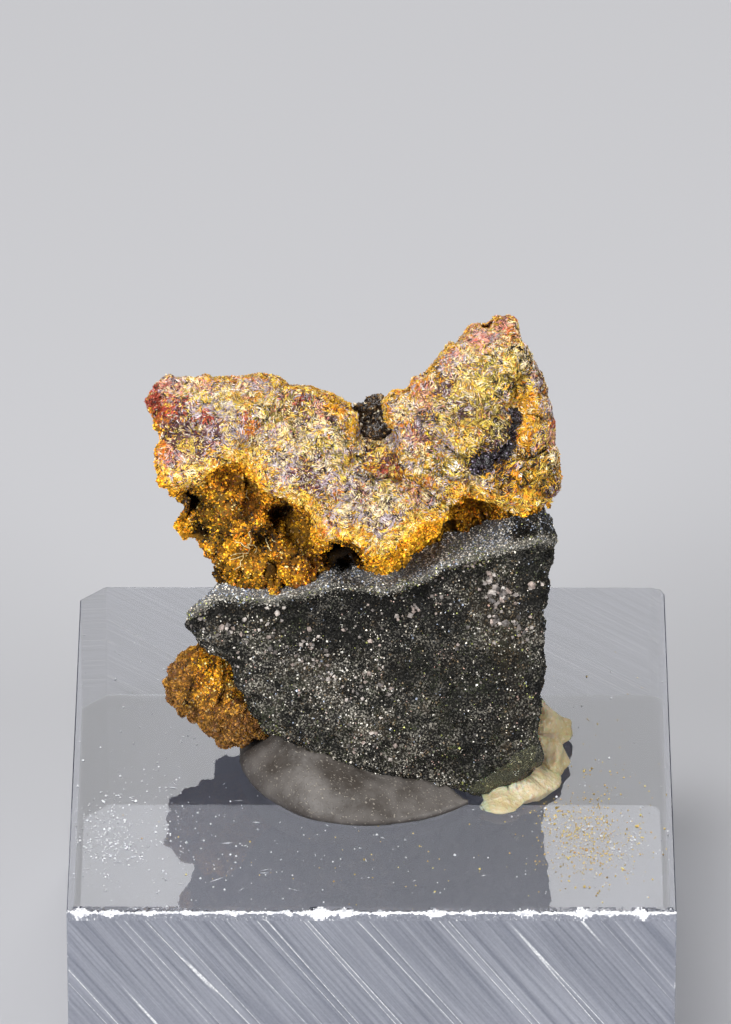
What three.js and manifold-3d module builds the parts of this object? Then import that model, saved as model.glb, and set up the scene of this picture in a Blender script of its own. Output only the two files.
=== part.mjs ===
// A thumbnail specimen of tsumcorite on its dark rock, stuck upright on a clear acrylic block
// with grey putty and a dab of glue. Millimetres, +Z up, the front looks along -Y, and the
// origin is the middle of the block's underside.

import * as THREE from "three";
import { mergeVertices } from "three/addons/utils/BufferGeometryUtils.js";
import { ImprovedNoise } from "three/addons/math/ImprovedNoise.js";
import { triTable } from "three/addons/objects/MarchingCubes.js";
import Module from "manifold-3d";

const wasm = await Module();
wasm.setup();

// Driving dimensions
const BLOCK_SIDE = 30;
const BLOCK_HEIGHT = 15;
const BLOCK_BEVEL = 0.18;
const GAP = 0.3; // room left between pieces that grew or were pressed together
const FACE_TILT = THREE.MathUtils.degToRad(31.8); // the broad face of the specimen looks up this far

// The specimen is drawn in the frame of its broad face: u runs right, v up the face, w out of it.
// The face frame starts at the middle of the block's top.
const SIN = Math.sin(FACE_TILT);
const COS = Math.cos(FACE_TILT);

const CRUST_CELL = 0.78;
const ROCK_CELL = 0.92;
const NODULE_CELL = 0.72;
const DRUSE_CELL = 0.5;
const PUTTY_CELL = 0.8;
const GLUE_CELL = 0.68;
const OUTLINE_EASE = 0.14; // the drawn outlines run inside the jagged edge by this much

// Top edge of the crust from its left tip over the wing, the notch and the peak, then down the right
const CROWN = [
  [-11.1, 17.3], [-10.9, 17.9], [-10.1, 18.4], [-8.6, 18.5], [-7.9, 18.3], [-6.3, 18.4],
  [-5.5, 18.5], [-4.4, 18.3], [-4.2, 17.9], [-3.1, 17.9], [-1.6, 17.4], [-0.7, 16.7],
  [-0.4, 16.0], [0.2, 15.4], [0.9, 15.8], [0.7, 16.8], [0.5, 17.4], [1.0, 17.7],
  [1.9, 17.7], [2.1, 18.3], [2.6, 18.4], [3.1, 19.3], [4.3, 20.4], [5.0, 21.0],
  [5.8, 21.0], [6.5, 21.7], [7.0, 21.4], [7.3, 20.2], [8.3, 18.8], [8.7, 17.4],
  [9.1, 15.5], [9.4, 13.1], [9.1, 11.6], [8.9, 10.3],
];

// Lower edge of the felted plate, from right to left, and its left end
const RIM = [
  [8.7, 12.0], [7.9, 12.1], [7.3, 11.7], [6.7, 11.8], [5.6, 12.4], [4.6, 12.7],
  [3.9, 12.1], [3.8, 11.3], [2.8, 10.6], [2.0, 9.9], [1.3, 9.2], [0.5, 8.7], [-0.1, 8.7],
  [-0.4, 9.5], [-1.0, 10.4], [-2.5, 10.4], [-3.0, 11.7], [-3.9, 12.3], [-5.1, 12.5], [-5.7, 13.7],
  [-6.5, 14.3], [-7.8, 14.1], [-8.6, 13.1], [-9.7, 12.9], [-10.4, 13.4], [-10.7, 14.3],
  [-10.3, 15.8], [-10.9, 16.6],
];

// Lower left edge of the drusy wall under the plate, then its hidden foot behind the ledge
const WALL_EDGE = [
  [8.2, 7.5], [0.0, 6.0], [-7.8, 6.2], [-8.7, 7.1], [-8.8, 7.9], [-8.1, 8.6], [-7.7, 9.6],
  [-8.2, 10.3], [-9.2, 10.3], [-9.6, 11.2], [-9.5, 12.2], [-9.9, 13.1], [-10.6, 13.8],
  [-10.3, 15.8], [-10.9, 16.6],
];

const PLATE_OUTLINE = [...CROWN.slice(0, -2), ...RIM];
const CRUST_OUTLINE = [...CROWN, ...WALL_EDGE];

// How far the felted plate stands out of the face: u, v, w
const PLATE_RELIEF = [
  [-10.8, 17.0, 7.9], [-9.0, 18.2, 7.6], [-9.8, 14.6, 8.7], [-7.6, 16.4, 8.8],
  [-6.0, 18.2, 7.8], [-6.6, 14.6, 9.2], [-4.0, 16.6, 8.9], [-4.2, 13.2, 9.5],
  [-2.4, 17.2, 8.2], [-1.4, 14.6, 9.0], [-2.0, 11.4, 9.7], [0.2, 15.2, 8.3],
  [0.6, 12.8, 9.3], [0.7, 10.0, 9.8], [2.6, 11.6, 9.6], [1.9, 16.9, 8.5],
  [2.6, 14.2, 9.2], [4.0, 18.6, 8.4], [4.6, 15.8, 9.3], [4.2, 13.0, 9.3],
  [6.4, 21.2, 7.3], [6.4, 18.6, 8.3], [6.2, 13.4, 8.5], [8.2, 17.4, 7.4],
  [8.7, 14.6, 7.5], [8.2, 12.4, 8.0], [2.9, 10.9, 9.0], [1.5, 9.6, 9.0], [0.3, 9.0, 8.9],
];

// How far the drusy walls under the plate stand out: u, v, w
const WALL_RELIEF = [
  [-9.3, 12.2, 6.9], [-8.8, 10.8, 6.5], [-7.2, 12.8, 8.0], [-6.9, 10.6, 7.5],
  [-7.9, 8.0, 6.9], [-5.4, 11.4, 8.3], [-5.2, 8.8, 7.4], [-4.3, 11.6, 6.7],
  [-3.3, 10.0, 8.1], [-3.0, 8.4, 7.4], [-1.6, 9.6, 6.6], [-1.3, 8.4, 7.3], [-8.4, 7.6, 7.3],
  [0.4, 8.4, 6.8], [1.2, 8.8, 6.3], [2.4, 9.4, 5.7], [3.6, 10.2, 5.5], [4.6, 11.4, 5.9],
  [5.4, 10.8, 5.2], [6.4, 11.2, 5.0], [7.6, 11.2, 4.8], [8.6, 11.4, 4.8], [0.0, 18.0, 6.0],
];

const CRUST_TAPER = 0.16; // the sides draw in by this much for each millimetre to the back
const CRUST_BACK = { y: 4.9, lean: 0.1 };

// Round pits in the walls: u, v, w of the middle and the radius
const PITS = [
  [-4.9, 12.1, 8.6, 1.0], [-1.45, 9.5, 7.5, 1.0], [-8.9, 12.6, 8.0, 0.8],
  [5.3, 11.7, 7.4, 1.1], [-5.4, 10.3, 8.7, 0.8], [-6.3, 9.0, 8.4, 0.8],
];

// Crystal blades that stand out of the plate and its broken edges
const BLADE = { length: 1.3, width: 0.66, thickness: 0.5, sunk: 0.1, inset: 0.075 };
const BLADE_TURN = THREE.MathUtils.degToRad(137.5); // each blade is turned this far from the last
const BLADE_LIFT = THREE.MathUtils.degToRad(16);
const FAN = { u: 0, v: 13 }; // the felt of the plate fans out from here
const BLADE_CLEAR = 1.1; // blades keep this far from the rock, the lump and the dark crystals

// Upper edge of the ledge along the front of the dark rock
const LEDGE_LIP = [
  [-9.6, 6.5], [-8.9, 6.8], [-7.5, 7.5], [-4.8, 7.4], [-3.7, 7.7], [-1.6, 8.2], [0.6, 7.9],
  [2.1, 8.3], [2.6, 8.5], [3.6, 9.2], [5.6, 9.7], [7.1, 10.1], [8.2, 10.4], [9.3, 10.3],
];
const LEDGE_REACH = 7.8; // w of the ledge's front edge
const LEDGE_LIP_PROUD = 0.7; // the lip stands out of the face below it
const LEDGE_LIP_HIGH = 0.6;
const LEDGE_SEAT = 0.3; // behind the lip the rock drops by this much to the seat of the crust

// Outline of the dark rock below the ledge, clockwise from its right tip
const ROCK_OUTLINE = [
  [9.4, 12.4], [9.4, 10.3], [8.7, 9.1], [8.4, 7.4], [8.3, 6.7], [8.6, 5.2], [8.5, 3.7],
  [8.1, 0.4], [8.2, -0.7], [7.4, -1.4], [5.4, -2.5], [4.5, -2.5], [2.4, -1.7], [0.6, -1.7],
  [-1.6, -0.9], [-4.7, 0.8], [-6.0, 1.8], [-6.4, 2.8], [-6.9, 4.4], [-8.4, 5.2],
  [-9.0, 5.8], [-9.6, 6.5], [-8.9, 6.9], [-8.2, 7.4], [-7.6, 8.4], [-6.8, 9.6],
];
const ROCK_FOOT = 0.22; // height of the rock's lowest corner over the block
const ROCK_BACK = 5.4;
const ROCK_FACE = { foot: 4.65, footV: -2.43, lean: 0.25 }; // w of the front face and its lean

// Outline of the rounded lump on the rock's lower left; w is the middle of its depth
const NODULE_OUTLINE = [
  [-8.5, 5.2], [-9.2, 4.8], [-9.9, 4.0], [-10.2, 3.2], [-9.9, 2.4], [-9.1, 1.6], [-8.2, 0.9],
  [-7.4, 0.3], [-6.5, 0.2], [-5.7, 0.6], [-4.7, 1.2], [-4.4, 2.6], [-5.4, 4.6], [-7.0, 5.5],
];
const NODULE = { w: 3.0, round: 2.3 };

const PUTTY = { x: -0.1, y: -1.2, radius: 6.65, height: 2.9, fall: 0.25, from: -4 };

// Blobs of the dried glue: x, y, z over the block, and their radii
const GLUE = [
  [6.5, -4.7, 0.1, 1.5, 1.4, 0.9], [7.5, -3.5, 0.1, 1.6, 2.0, 1.3], [8.2, -1.6, 0.3, 1.35, 2.2, 1.6],
  [8.4, 0.3, 0.6, 1.05, 1.6, 1.6], [9.3, 0.5, 0.8, 1.0, 0.55, 0.55],
];

// The dark seam's path over the right peak, and its thickness
const VEIN_PATH = [
  [6.8, 17.1], [7.0, 16.3], [6.85, 15.5], [6.6, 14.9], [6.0, 14.5], [5.3, 14.3], [4.7, 13.7],
];
const VEIN_RADIUS = 0.3;
const VEIN_SUNK = 0.2;
const VEIN_SIDES = 6;
const VEIN_STEPS = 14;

const DRUSE = { u: 0.2, v: 16.4, w: 6.8, radii: [0.9, 1.05, 1.1] };

// Chips along the block's front top edge: x, length, depth
const CHIPS = [
  [-13.2, 1.6, 0.26], [-9.6, 2.2, 0.22], [-5.7, 1.2, 0.2], [-2.4, 2.0, 0.34], [-0.9, 1.4, 0.3],
  [3.1, 1.8, 0.22], [6.6, 1.1, 0.24], [10.3, 1.5, 0.22], [13.1, 1.2, 0.2],
];
const CHIP_TURN = 0.6; // radians about the edge
const BROKEN_CORNER = 1.1; // the back left corner is broken off by this much
const ROUND_CORNER = 0.5; // and the back right one is rounded

const noise = new ImprovedNoise();

// Lumps of about the given size and height, the same on every run
function lumps(x, y, z, size, height) {
  return height * noise.noise(x / size + 7.3, y / size + 3.1, z / size + 11.7);
}

function clamp(value, low, high) {
  return Math.min(high, Math.max(low, value));
}

// Signed distance to a closed outline, negative inside
function outlineDistance(outline, u, v) {
  let nearest = Infinity;
  let inside = false;
  outline.forEach(([au, av], i) => {
    const [bu, bv] = outline[(i + 1) % outline.length];
    const [du, dv] = [bu - au, bv - av];
    const along = clamp(((u - au) * du + (v - av) * dv) / (du ** 2 + dv ** 2), 0, 1);
    nearest = Math.min(nearest, Math.hypot(u - au - along * du, v - av - along * dv));
    if (av > v !== bv > v && u < au + ((v - av) / dv) * du) inside = !inside;
  });
  return inside ? -nearest : nearest;
}

// Height of an open line of points over u
function lineAt(line, u) {
  const i = clamp(line.findIndex(([pu]) => pu > u), 1, line.length - 1);
  const [au, av] = line[i - 1];
  const [bu, bv] = line[i];
  return av + (bv - av) * clamp((u - au) / (bu - au), 0, 1);
}

// Smooth surface through scattered heights: the nearer a point, the more it counts
function relief(points, u, v) {
  let sum = 0;
  let weights = 0;
  for (const [pu, pv, height] of points) {
    const weight = 1 / ((pu - u) ** 2 + (pv - v) ** 2 + 0.3) ** 2;
    sum += weight * height;
    weights += weight;
  }
  return sum / weights;
}

// From the face frame to x, y and height over the block, and back
function faceToObject(u, v, w) {
  return [u, v * SIN - w * COS, v * COS + w * SIN];
}

function objectToFace(x, y, z) {
  return [x, y * SIN + z * COS, z * SIN - y * COS];
}

const FACE_TO_OBJECT = new THREE.Matrix4().set(
  1, 0, 0, 0,
  0, SIN, -COS, 0,
  0, COS, SIN, BLOCK_HEIGHT,
  0, 0, 0, 1,
);

// Height of the rock's top over the block: the lip, and the lower seat behind it
function rockTop(u, y) {
  const [, lipY, lipZ] = faceToObject(u, lineAt(LEDGE_LIP, u), LEDGE_REACH);
  return lipZ - LEDGE_SEAT * clamp(y - lipY, 0, 1);
}

// Dark rock: below the ledge, behind the leaning face, tapering to the back
function rockField(u, v, w) {
  const [, y, z] = faceToObject(u, v, w);
  const rough = lumps(u, v, w, 1.5, 0.3) + lumps(u, v, w, 3.6, 0.5);
  const face = ROCK_FACE.foot + ROCK_FACE.lean * (v - ROCK_FACE.footV);
  const lip = LEDGE_LIP_PROUD * Math.exp(-(((v - lineAt(LEDGE_LIP, u)) / LEDGE_LIP_HIGH) ** 2));
  const front = w - face - lip + rough;
  const top = z - rockTop(u, y) + 0.3 * rough;
  const sides = outlineDistance(ROCK_OUTLINE, u, v) - OUTLINE_EASE + 0.1 * (face - w) + 0.35 * rough;
  const back = y - ROCK_BACK + 1.6 * lumps(u, v, w, 3.2, 1) - 0.08 * (z - 6);
  return Math.max(front, top, sides, back, ROCK_FOOT - z);
}

function noduleField(u, v, w) {
  const inset = Math.max(outlineDistance(NODULE_OUTLINE, u, v) - OUTLINE_EASE + NODULE.round, 0);
  const rough = lumps(u, v, w, 1.1, 0.45);
  return Math.max(Math.hypot(inset, w - NODULE.w) - NODULE.round + rough, GAP - rockField(u, v, w));
}

function druseField(u, v, w) {
  const [ru, rv, rw] = DRUSE.radii;
  const from = Math.hypot((u - DRUSE.u) / ru, (v - DRUSE.v) / rv, (w - DRUSE.w) / rw) - 1;
  return from * Math.min(ru, rv, rw) + lumps(u, v, w, 0.7, 0.5);
}

function pitField(u, v, w) {
  return Math.min(...PITS.map(([pu, pv, pw, r]) => Math.hypot(u - pu, v - pv, 0.8 * (w - pw)) - r));
}

// Crust: a plate that overhangs drusy walls, both on one body that stands on the rock's top
function crustField(u, v, w) {
  const [, y, z] = faceToObject(u, v, w);
  const felt = lumps(u, v, 0.4 * w, 1.0, 0.36) + lumps(u, v, w, 2.6, 0.4);
  const plateFront = relief(PLATE_RELIEF, u, v);
  const wallFront = Math.min(relief(WALL_RELIEF, u, v), plateFront - 0.4);
  const back = y - CRUST_BACK.y - CRUST_BACK.lean * z + 2.1 * lumps(u, v, w, 2.8, 1) + 0.6 * felt;
  const plate = Math.max(
    outlineDistance(PLATE_OUTLINE, u, v) - OUTLINE_EASE + CRUST_TAPER * (plateFront - w),
    w - plateFront + felt,
  );
  const wall = Math.max(
    outlineDistance(CRUST_OUTLINE, u, v) - OUTLINE_EASE + CRUST_TAPER * (wallFront - w),
    w - wallFront + 1.5 * lumps(u, v, w, 1.3, 0.6),
  );
  const pitted = Math.max(Math.min(plate, wall), -pitField(u, v, w));
  const clear = Math.min(rockField(u, v, w), noduleField(u, v, w), druseField(u, v, w));
  return Math.max(pitted, back, rockTop(u, y) + GAP - z, GAP - clear);
}

function puttyField(x, y, z) {
  const [u, v, w] = objectToFace(x, y, z);
  const from = Math.hypot(x - PUTTY.x, y - PUTTY.y) / PUTTY.radius;
  const high = PUTTY.height - PUTTY.fall * (x - PUTTY.from);
  const dome = (from ** 3 + (Math.max(z, 0) / Math.max(high, 0.9)) ** 2 - 1) * 1.3;
  const clear = Math.min(rockField(u, v, w), noduleField(u, v, w));
  return Math.max(dome, -z, GAP - clear);
}

function glueField(x, y, z) {
  const [u, v, w] = objectToFace(x, y, z);
  const blobs = GLUE.map(([bx, by, bz, rx, ry, rz]) => {
    return (Math.hypot((x - bx) / rx, (y - by) / ry, (z - bz) / rz) - 1) * Math.min(rx, ry, rz);
  });
  const dab = Math.min(...blobs) + lumps(x, y, z, 0.9, 0.3);
  return Math.max(dab, -z, GAP - rockField(u, v, w), GAP - puttyField(x, y, z));
}

// Corners of a grid cell, and the two corners that each of its edges joins
const CELL_CORNERS = [
  [0, 0, 0], [1, 0, 0], [1, 1, 0], [0, 1, 0], [0, 0, 1], [1, 0, 1], [1, 1, 1], [0, 1, 1],
];
const CELL_EDGES = [
  [0, 1], [1, 2], [2, 3], [3, 0], [4, 5], [5, 6], [6, 7], [7, 4], [0, 4], [1, 5], [2, 6], [3, 7],
];

// Closed mesh of the surface where a field is zero; the field is negative inside
// The grid's own nodes are shaken a little, so that the facets lie as irregularly as broken rock.
function surfaceOf(field, low, high, cell, place, shake = 0.5) {
  const count = low.map((value, axis) => Math.ceil((high[axis] - value) / cell) + 1);
  const node = (i, j, k) => (k * count[1] + j) * count[0] + i;
  const at = (...step) => step.map((value, axis) => {
    const shift = noise.noise(0.71 * step[0] + 5.3 * axis, 0.63 * step[1], 0.57 * step[2] + 2.9 * axis);
    return low[axis] + cell * (value + shake * shift);
  });
  const values = new Float64Array(count[0] * count[1] * count[2]);
  for (let k = 0; k < count[2]; k++)
    for (let j = 0; j < count[1]; j++)
      for (let i = 0; i < count[0]; i++) values[node(i, j, k)] = field(...at(i, j, k));

  const positions = [];
  const known = new Map();
  const pointOn = (a, b) => {
    const [na, nb] = [node(...a), node(...b)];
    const key = na < nb ? `${na} ${nb}` : `${nb} ${na}`;
    if (!known.has(key)) {
      const share = clamp(values[na] / (values[na] - values[nb]), 0.1, 0.9);
      const [pa, pb] = [at(...a), at(...b)];
      known.set(key, positions.length / 3);
      positions.push(...place(...pa.map((value, axis) => value + share * (pb[axis] - value))));
    }
    return known.get(key);
  };

  const index = [];
  for (let k = 0; k < count[2] - 1; k++)
    for (let j = 0; j < count[1] - 1; j++)
      for (let i = 0; i < count[0] - 1; i++) {
        const corners = CELL_CORNERS.map(([di, dj, dk]) => [i + di, j + dj, k + dk]);
        let kind = 0;
        corners.forEach((corner, bit) => {
          if (values[node(...corner)] < 0) kind |= 1 << bit;
        });
        for (let t = kind * 16; triTable[t] !== -1; t += 3) {
          const [a, b, c] = [0, 2, 1].map((step) => {
            const [from, to] = CELL_EDGES[triTable[t + step]];
            return pointOn(corners[from], corners[to]);
          });
          index.push(a, b, c);
        }
      }
  return { positions, index };
}

function solidOf({ positions, index }) {
  const mesh = new wasm.Mesh({
    numProp: 3,
    vertProperties: new Float32Array(positions),
    triVerts: new Uint32Array(index),
  });
  return new wasm.Manifold(mesh);
}

// Only the largest piece of a solid, without crumbs that the noise left loose
function largestPiece(solid) {
  const pieces = solid.decompose();
  return pieces.reduce((best, piece) => (piece.volume() > best.volume() ? piece : best));
}

function solidOfGeometry(geometry) {
  const bare = geometry.index ? geometry.toNonIndexed() : geometry.clone();
  bare.deleteAttribute("normal");
  bare.deleteAttribute("uv");
  const merged = mergeVertices(bare, 1e-4);
  return solidOf({ positions: merged.attributes.position.array, index: merged.index.array });
}

function geometryOf(solid) {
  const { vertProperties, triVerts } = solid.getMesh();
  const indexed = new THREE.BufferGeometry();
  indexed.setAttribute("position", new THREE.BufferAttribute(new Float32Array(vertProperties), 3));
  indexed.setIndex(new THREE.BufferAttribute(new Uint32Array(triVerts), 1));
  const faceted = indexed.toNonIndexed();
  faceted.computeVertexNormals();
  return faceted;
}

// A point of the face frame, and a point over the block, in the object's own axes
function onFace(u, v, w) {
  const [x, y, z] = faceToObject(u, v, w);
  return [x, y, z + BLOCK_HEIGHT];
}

function onBlock(x, y, z) {
  return [x, y, BLOCK_HEIGHT + (z < 0.05 ? 0 : z)];
}

function sweep(points, radius) {
  const path = new THREE.CatmullRomCurve3(points.map((point) => new THREE.Vector3(...point)));
  const section = new THREE.Shape();
  for (let i = 0; i < VEIN_SIDES; i++) {
    const angle = (i / VEIN_SIDES) * 2 * Math.PI;
    section[i ? "lineTo" : "moveTo"](radius * Math.cos(angle), radius * Math.sin(angle));
  }
  section.closePath();
  return new THREE.ExtrudeGeometry(section, { steps: VEIN_STEPS, extrudePath: path, bevelEnabled: false });
}

// One blade, lying on the plate at u, v and turned by an angle in the plate
function blade(u, v, angle, number) {
  const size = 0.8 + 0.4 * Math.abs(Math.sin(2.4 * number));
  const w = relief(PLATE_RELIEF, u, v) - BLADE.sunk;
  const crystal = new THREE.OctahedronGeometry(1);
  crystal.scale((size * BLADE.length) / 2, BLADE.width / 2, BLADE.thickness / 2);
  crystal.rotateY(BLADE_LIFT * Math.cos(number));
  crystal.rotateZ(angle);
  crystal.translate(u, v, w);
  return solidOfGeometry(crystal.applyMatrix4(FACE_TO_OBJECT));
}

// Blades stand across the crown and the rim, and lie every way on the plate between them
function bladesOn(solid) {
  const edges = [...CROWN.slice(1, -3), ...RIM].filter((point, number) => number % 2);
  const middles = PLATE_RELIEF.map(([u, v]) => [u, v]);
  [...edges, ...middles].forEach(([u, v], number) => {
    const w = relief(PLATE_RELIEF, u, v);
    const clear = Math.min(rockField(u, v, w), noduleField(u, v, w), druseField(u, v, w));
    if (clear < BLADE_CLEAR) return;
    const onEdge = number < edges.length;
    const inset = onEdge ? BLADE.inset : 0;
    const [bu, bv] = [u + inset * (FAN.u - u), v + inset * (FAN.v - v)];
    const aim = Math.atan2(v - FAN.v, u - FAN.u) + (onEdge ? Math.PI / 2 : 0);
    solid = solid.add(blade(bu, bv, aim + 0.6 * Math.sin(number * BLADE_TURN), number));
  });
  return solid;
}

// The clear block: a sawn square with broken edges and chips along its front top edge
function acrylicBlock() {
  const half = BLOCK_SIDE / 2 - BLOCK_BEVEL;
  const outline = new THREE.Shape();
  outline.moveTo(-half, -half);
  outline.lineTo(half, -half);
  outline.lineTo(half, half - ROUND_CORNER);
  outline.lineTo(half - 0.3 * ROUND_CORNER, half - 0.3 * ROUND_CORNER);
  outline.lineTo(half - ROUND_CORNER, half);
  outline.lineTo(BROKEN_CORNER - half, half);
  outline.lineTo(-half, half - BROKEN_CORNER);
  outline.closePath();
  const prism = new THREE.ExtrudeGeometry(outline, {
    depth: BLOCK_HEIGHT - 2 * BLOCK_BEVEL,
    bevelSize: BLOCK_BEVEL,
    bevelThickness: BLOCK_BEVEL,
    bevelSegments: 1,
  });
  prism.translate(0, 0, BLOCK_BEVEL);
  let block = solidOfGeometry(prism);
  for (const [x, length, depth] of CHIPS) {
    const chip = new THREE.OctahedronGeometry(1);
    chip.scale(length / 2, depth, depth);
    chip.rotateX(CHIP_TURN);
    chip.translate(x, -BLOCK_SIDE / 2, BLOCK_HEIGHT);
    block = block.subtract(solidOfGeometry(chip));
  }
  return block;
}

const rock = largestPiece(solidOf(surfaceOf(rockField, [-11, -4.2, -5], [11, 14.4, 9.6], ROCK_CELL, onFace)));
const nodule = largestPiece(
  solidOf(surfaceOf(noduleField, [-11.4, -1.2, -1.2], [-3, 7.4, 7], NODULE_CELL, onFace)),
);
const druse = largestPiece(
  solidOf(surfaceOf(druseField, [-1.6, 14.2, 5], [2.2, 18.6, 9], DRUSE_CELL, onFace)),
);
const crust = largestPiece(
  solidOf(surfaceOf(crustField, [-12.6, 4.8, -1.6], [11, 23.4, 11.6], CRUST_CELL, onFace)),
);
const putty = largestPiece(
  solidOf(surfaceOf(puttyField, [-7.6, -8.8, -0.4], [7.6, 6.6, 4.4], PUTTY_CELL, onBlock, 0)),
);
const glue = largestPiece(
  solidOf(surfaceOf(glueField, [4.4, -7.4, -0.34], [11.4, 3.6, 3.8], GLUE_CELL, onBlock)),
);

const veinPoints = VEIN_PATH.map(([u, v]) => onFace(u, v, relief(PLATE_RELIEF, u, v) - VEIN_SUNK));
const vein = solidOfGeometry(sweep(veinPoints, VEIN_RADIUS));
const groove = solidOfGeometry(sweep(veinPoints, VEIN_RADIUS + GAP));
const groovedCrust = largestPiece(bladesOn(crust).subtract(groove));

// Each piece with its colour, roughness and node name
const object = new THREE.Group();

function addPiece(name, solid, color, roughness, extra = {}) {
  const material = new THREE.MeshStandardMaterial({ color, roughness, metalness: 0, ...extra });
  const mesh = new THREE.Mesh(geometryOf(solid), material);
  mesh.name = name;
  object.add(mesh);
}

addPiece("acrylic_block", acrylicBlock(), 0xdfe3ea, 0.08, { transparent: true, opacity: 0.35 });
addPiece("grey_putty", putty, 0x8b8782, 0.55);
addPiece("glue_dab", glue, 0xd9cfa6, 0.4);
addPiece("matrix_rock", rock, 0x34362f, 0.9);
addPiece("tsumcorite_crust", groovedCrust, 0xb8862b, 0.6);
addPiece("tsumcorite_nodule", nodule, 0x9a6a1c, 0.6);
addPiece("dark_druse", druse, 0x2a2420, 0.5);
addPiece("dark_vein", vein, 0x1e1a20, 0.4);

export default object;
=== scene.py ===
# %% [markdown]
# A tsumcorite specimen on its clear block. The real thing is a thumbnail of dark sandy rock
# that carries a crust of felted yellow, cream and violet-brown crystals. It stands upright in
# grey putty, with a dab of dried glue at one corner, on a sawn block of clear acrylic.
# The solids of the part give every piece its place and size. This lesson gives each of them a
# fine surface, and then sows crystals, sand and dust over it.

import math

import bmesh
import bpy
import numpy as np
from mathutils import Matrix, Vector, noise
from mathutils.bvhtree import BVHTree


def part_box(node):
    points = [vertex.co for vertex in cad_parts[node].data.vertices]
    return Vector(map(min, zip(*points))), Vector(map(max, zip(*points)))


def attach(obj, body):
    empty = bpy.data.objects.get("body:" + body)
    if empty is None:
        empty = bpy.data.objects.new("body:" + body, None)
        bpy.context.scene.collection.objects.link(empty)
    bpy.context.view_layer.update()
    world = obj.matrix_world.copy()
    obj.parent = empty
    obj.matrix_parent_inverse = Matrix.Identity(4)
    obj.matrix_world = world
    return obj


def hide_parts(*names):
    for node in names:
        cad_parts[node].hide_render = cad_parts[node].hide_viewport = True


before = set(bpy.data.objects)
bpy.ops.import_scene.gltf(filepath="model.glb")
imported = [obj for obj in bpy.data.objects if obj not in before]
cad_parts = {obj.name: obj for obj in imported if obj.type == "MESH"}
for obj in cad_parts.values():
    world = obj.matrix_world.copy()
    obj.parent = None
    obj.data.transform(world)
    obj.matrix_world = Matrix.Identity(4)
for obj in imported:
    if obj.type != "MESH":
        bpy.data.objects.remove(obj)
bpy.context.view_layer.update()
MM = 0.001
BLOCK_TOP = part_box("acrylic_block")[1][2]

# %% [markdown]
# The camera stands where the photographer's did: a long lens, more than half a metre away and
# about 32 degrees above the block. A camera this far off shows the block's top almost without
# perspective. The light is soft and comes mostly from the front: a large lamp at each side, one
# high above, and a weak one behind.

# %% Camera, lights and floor
CAMERA_PLACE = Vector((0.65, -475.77, 309.24)) * MM + Vector((0, 0, BLOCK_TOP))
CAMERA_AIM = Vector((-0.33, 0, 13.85)) * MM + Vector((0, 0, BLOCK_TOP))
CAMERA_LENS = 396.8


def placed(name, data):
    """A new object of the scene with that data."""
    thing = bpy.data.objects.new(name, data)
    bpy.context.collection.objects.link(thing)
    return thing


camera_data = bpy.data.cameras.new("camera")
camera_data.lens = CAMERA_LENS
camera_data.clip_start = 0.01
camera = placed("camera", camera_data)
camera.location = CAMERA_PLACE
camera.rotation_euler = (CAMERA_AIM - CAMERA_PLACE).to_track_quat("-Z", "Y").to_euler()
bpy.context.scene.camera = camera


def soft_light(name, place, size, watts):
    """A square lamp in millimetres that faces the specimen."""
    lamp = bpy.data.lights.new(name, "AREA")
    lamp.size = size * MM
    lamp.energy = watts
    holder = placed(name, lamp)
    holder.location = Vector(place) * MM
    holder.rotation_euler = (CAMERA_AIM - holder.location).to_track_quat("-Z", "Y").to_euler()


soft_light("key_left", (-260, -330, 250), 200, 1.8)
soft_light("key_right", (320, -290, 210), 200, 1.3)
soft_light("high", (-80, -90, 430), 170, 0.95)
soft_light("rim_back", (40, 340, 200), 180, 0.4)

world = bpy.data.worlds.new("studio")
world.use_nodes = True
world.node_tree.nodes["Background"].inputs["Color"].default_value = (0.8, 0.82, 0.86, 1)
world.node_tree.nodes["Background"].inputs["Strength"].default_value = 0.11
bpy.context.scene.world = world
bpy.context.scene.view_settings.view_transform = "Standard"

# %% [markdown]
# A material's maths reads best as plain Python. A small class wraps a socket, so that
# `1 - mask` or `grain * 0.3 + 0.7` adds the Math nodes by itself, and one method makes every
# other node from its type, its settings and its inputs.

# %% Shader maths as Python
class Wire:
    """An output socket of a finish, with Python's operators for its maths."""

    def __init__(self, finish, socket):
        self.finish = finish
        self.socket = socket

    def maths(self, operation, first, second):
        return self.finish.node("ShaderNodeMath", {"operation": operation}, {0: first, 1: second})

    def __add__(self, other):
        return self.maths("ADD", self, other)

    def __sub__(self, other):
        return self.maths("SUBTRACT", self, other)

    def __rsub__(self, other):
        return self.maths("SUBTRACT", other, self)

    def __mul__(self, other):
        return self.maths("MULTIPLY", self, other)

    def __pow__(self, other):
        return self.maths("POWER", self, other)

    def above(self, edge, width):
        """0 below the edge and 1 above it, over a soft width."""
        limits = {"From Min": edge - width, "From Max": edge + width}
        return self.finish.node("ShaderNodeMapRange", {"clamp": True}, {"Value": self, **limits})


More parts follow.
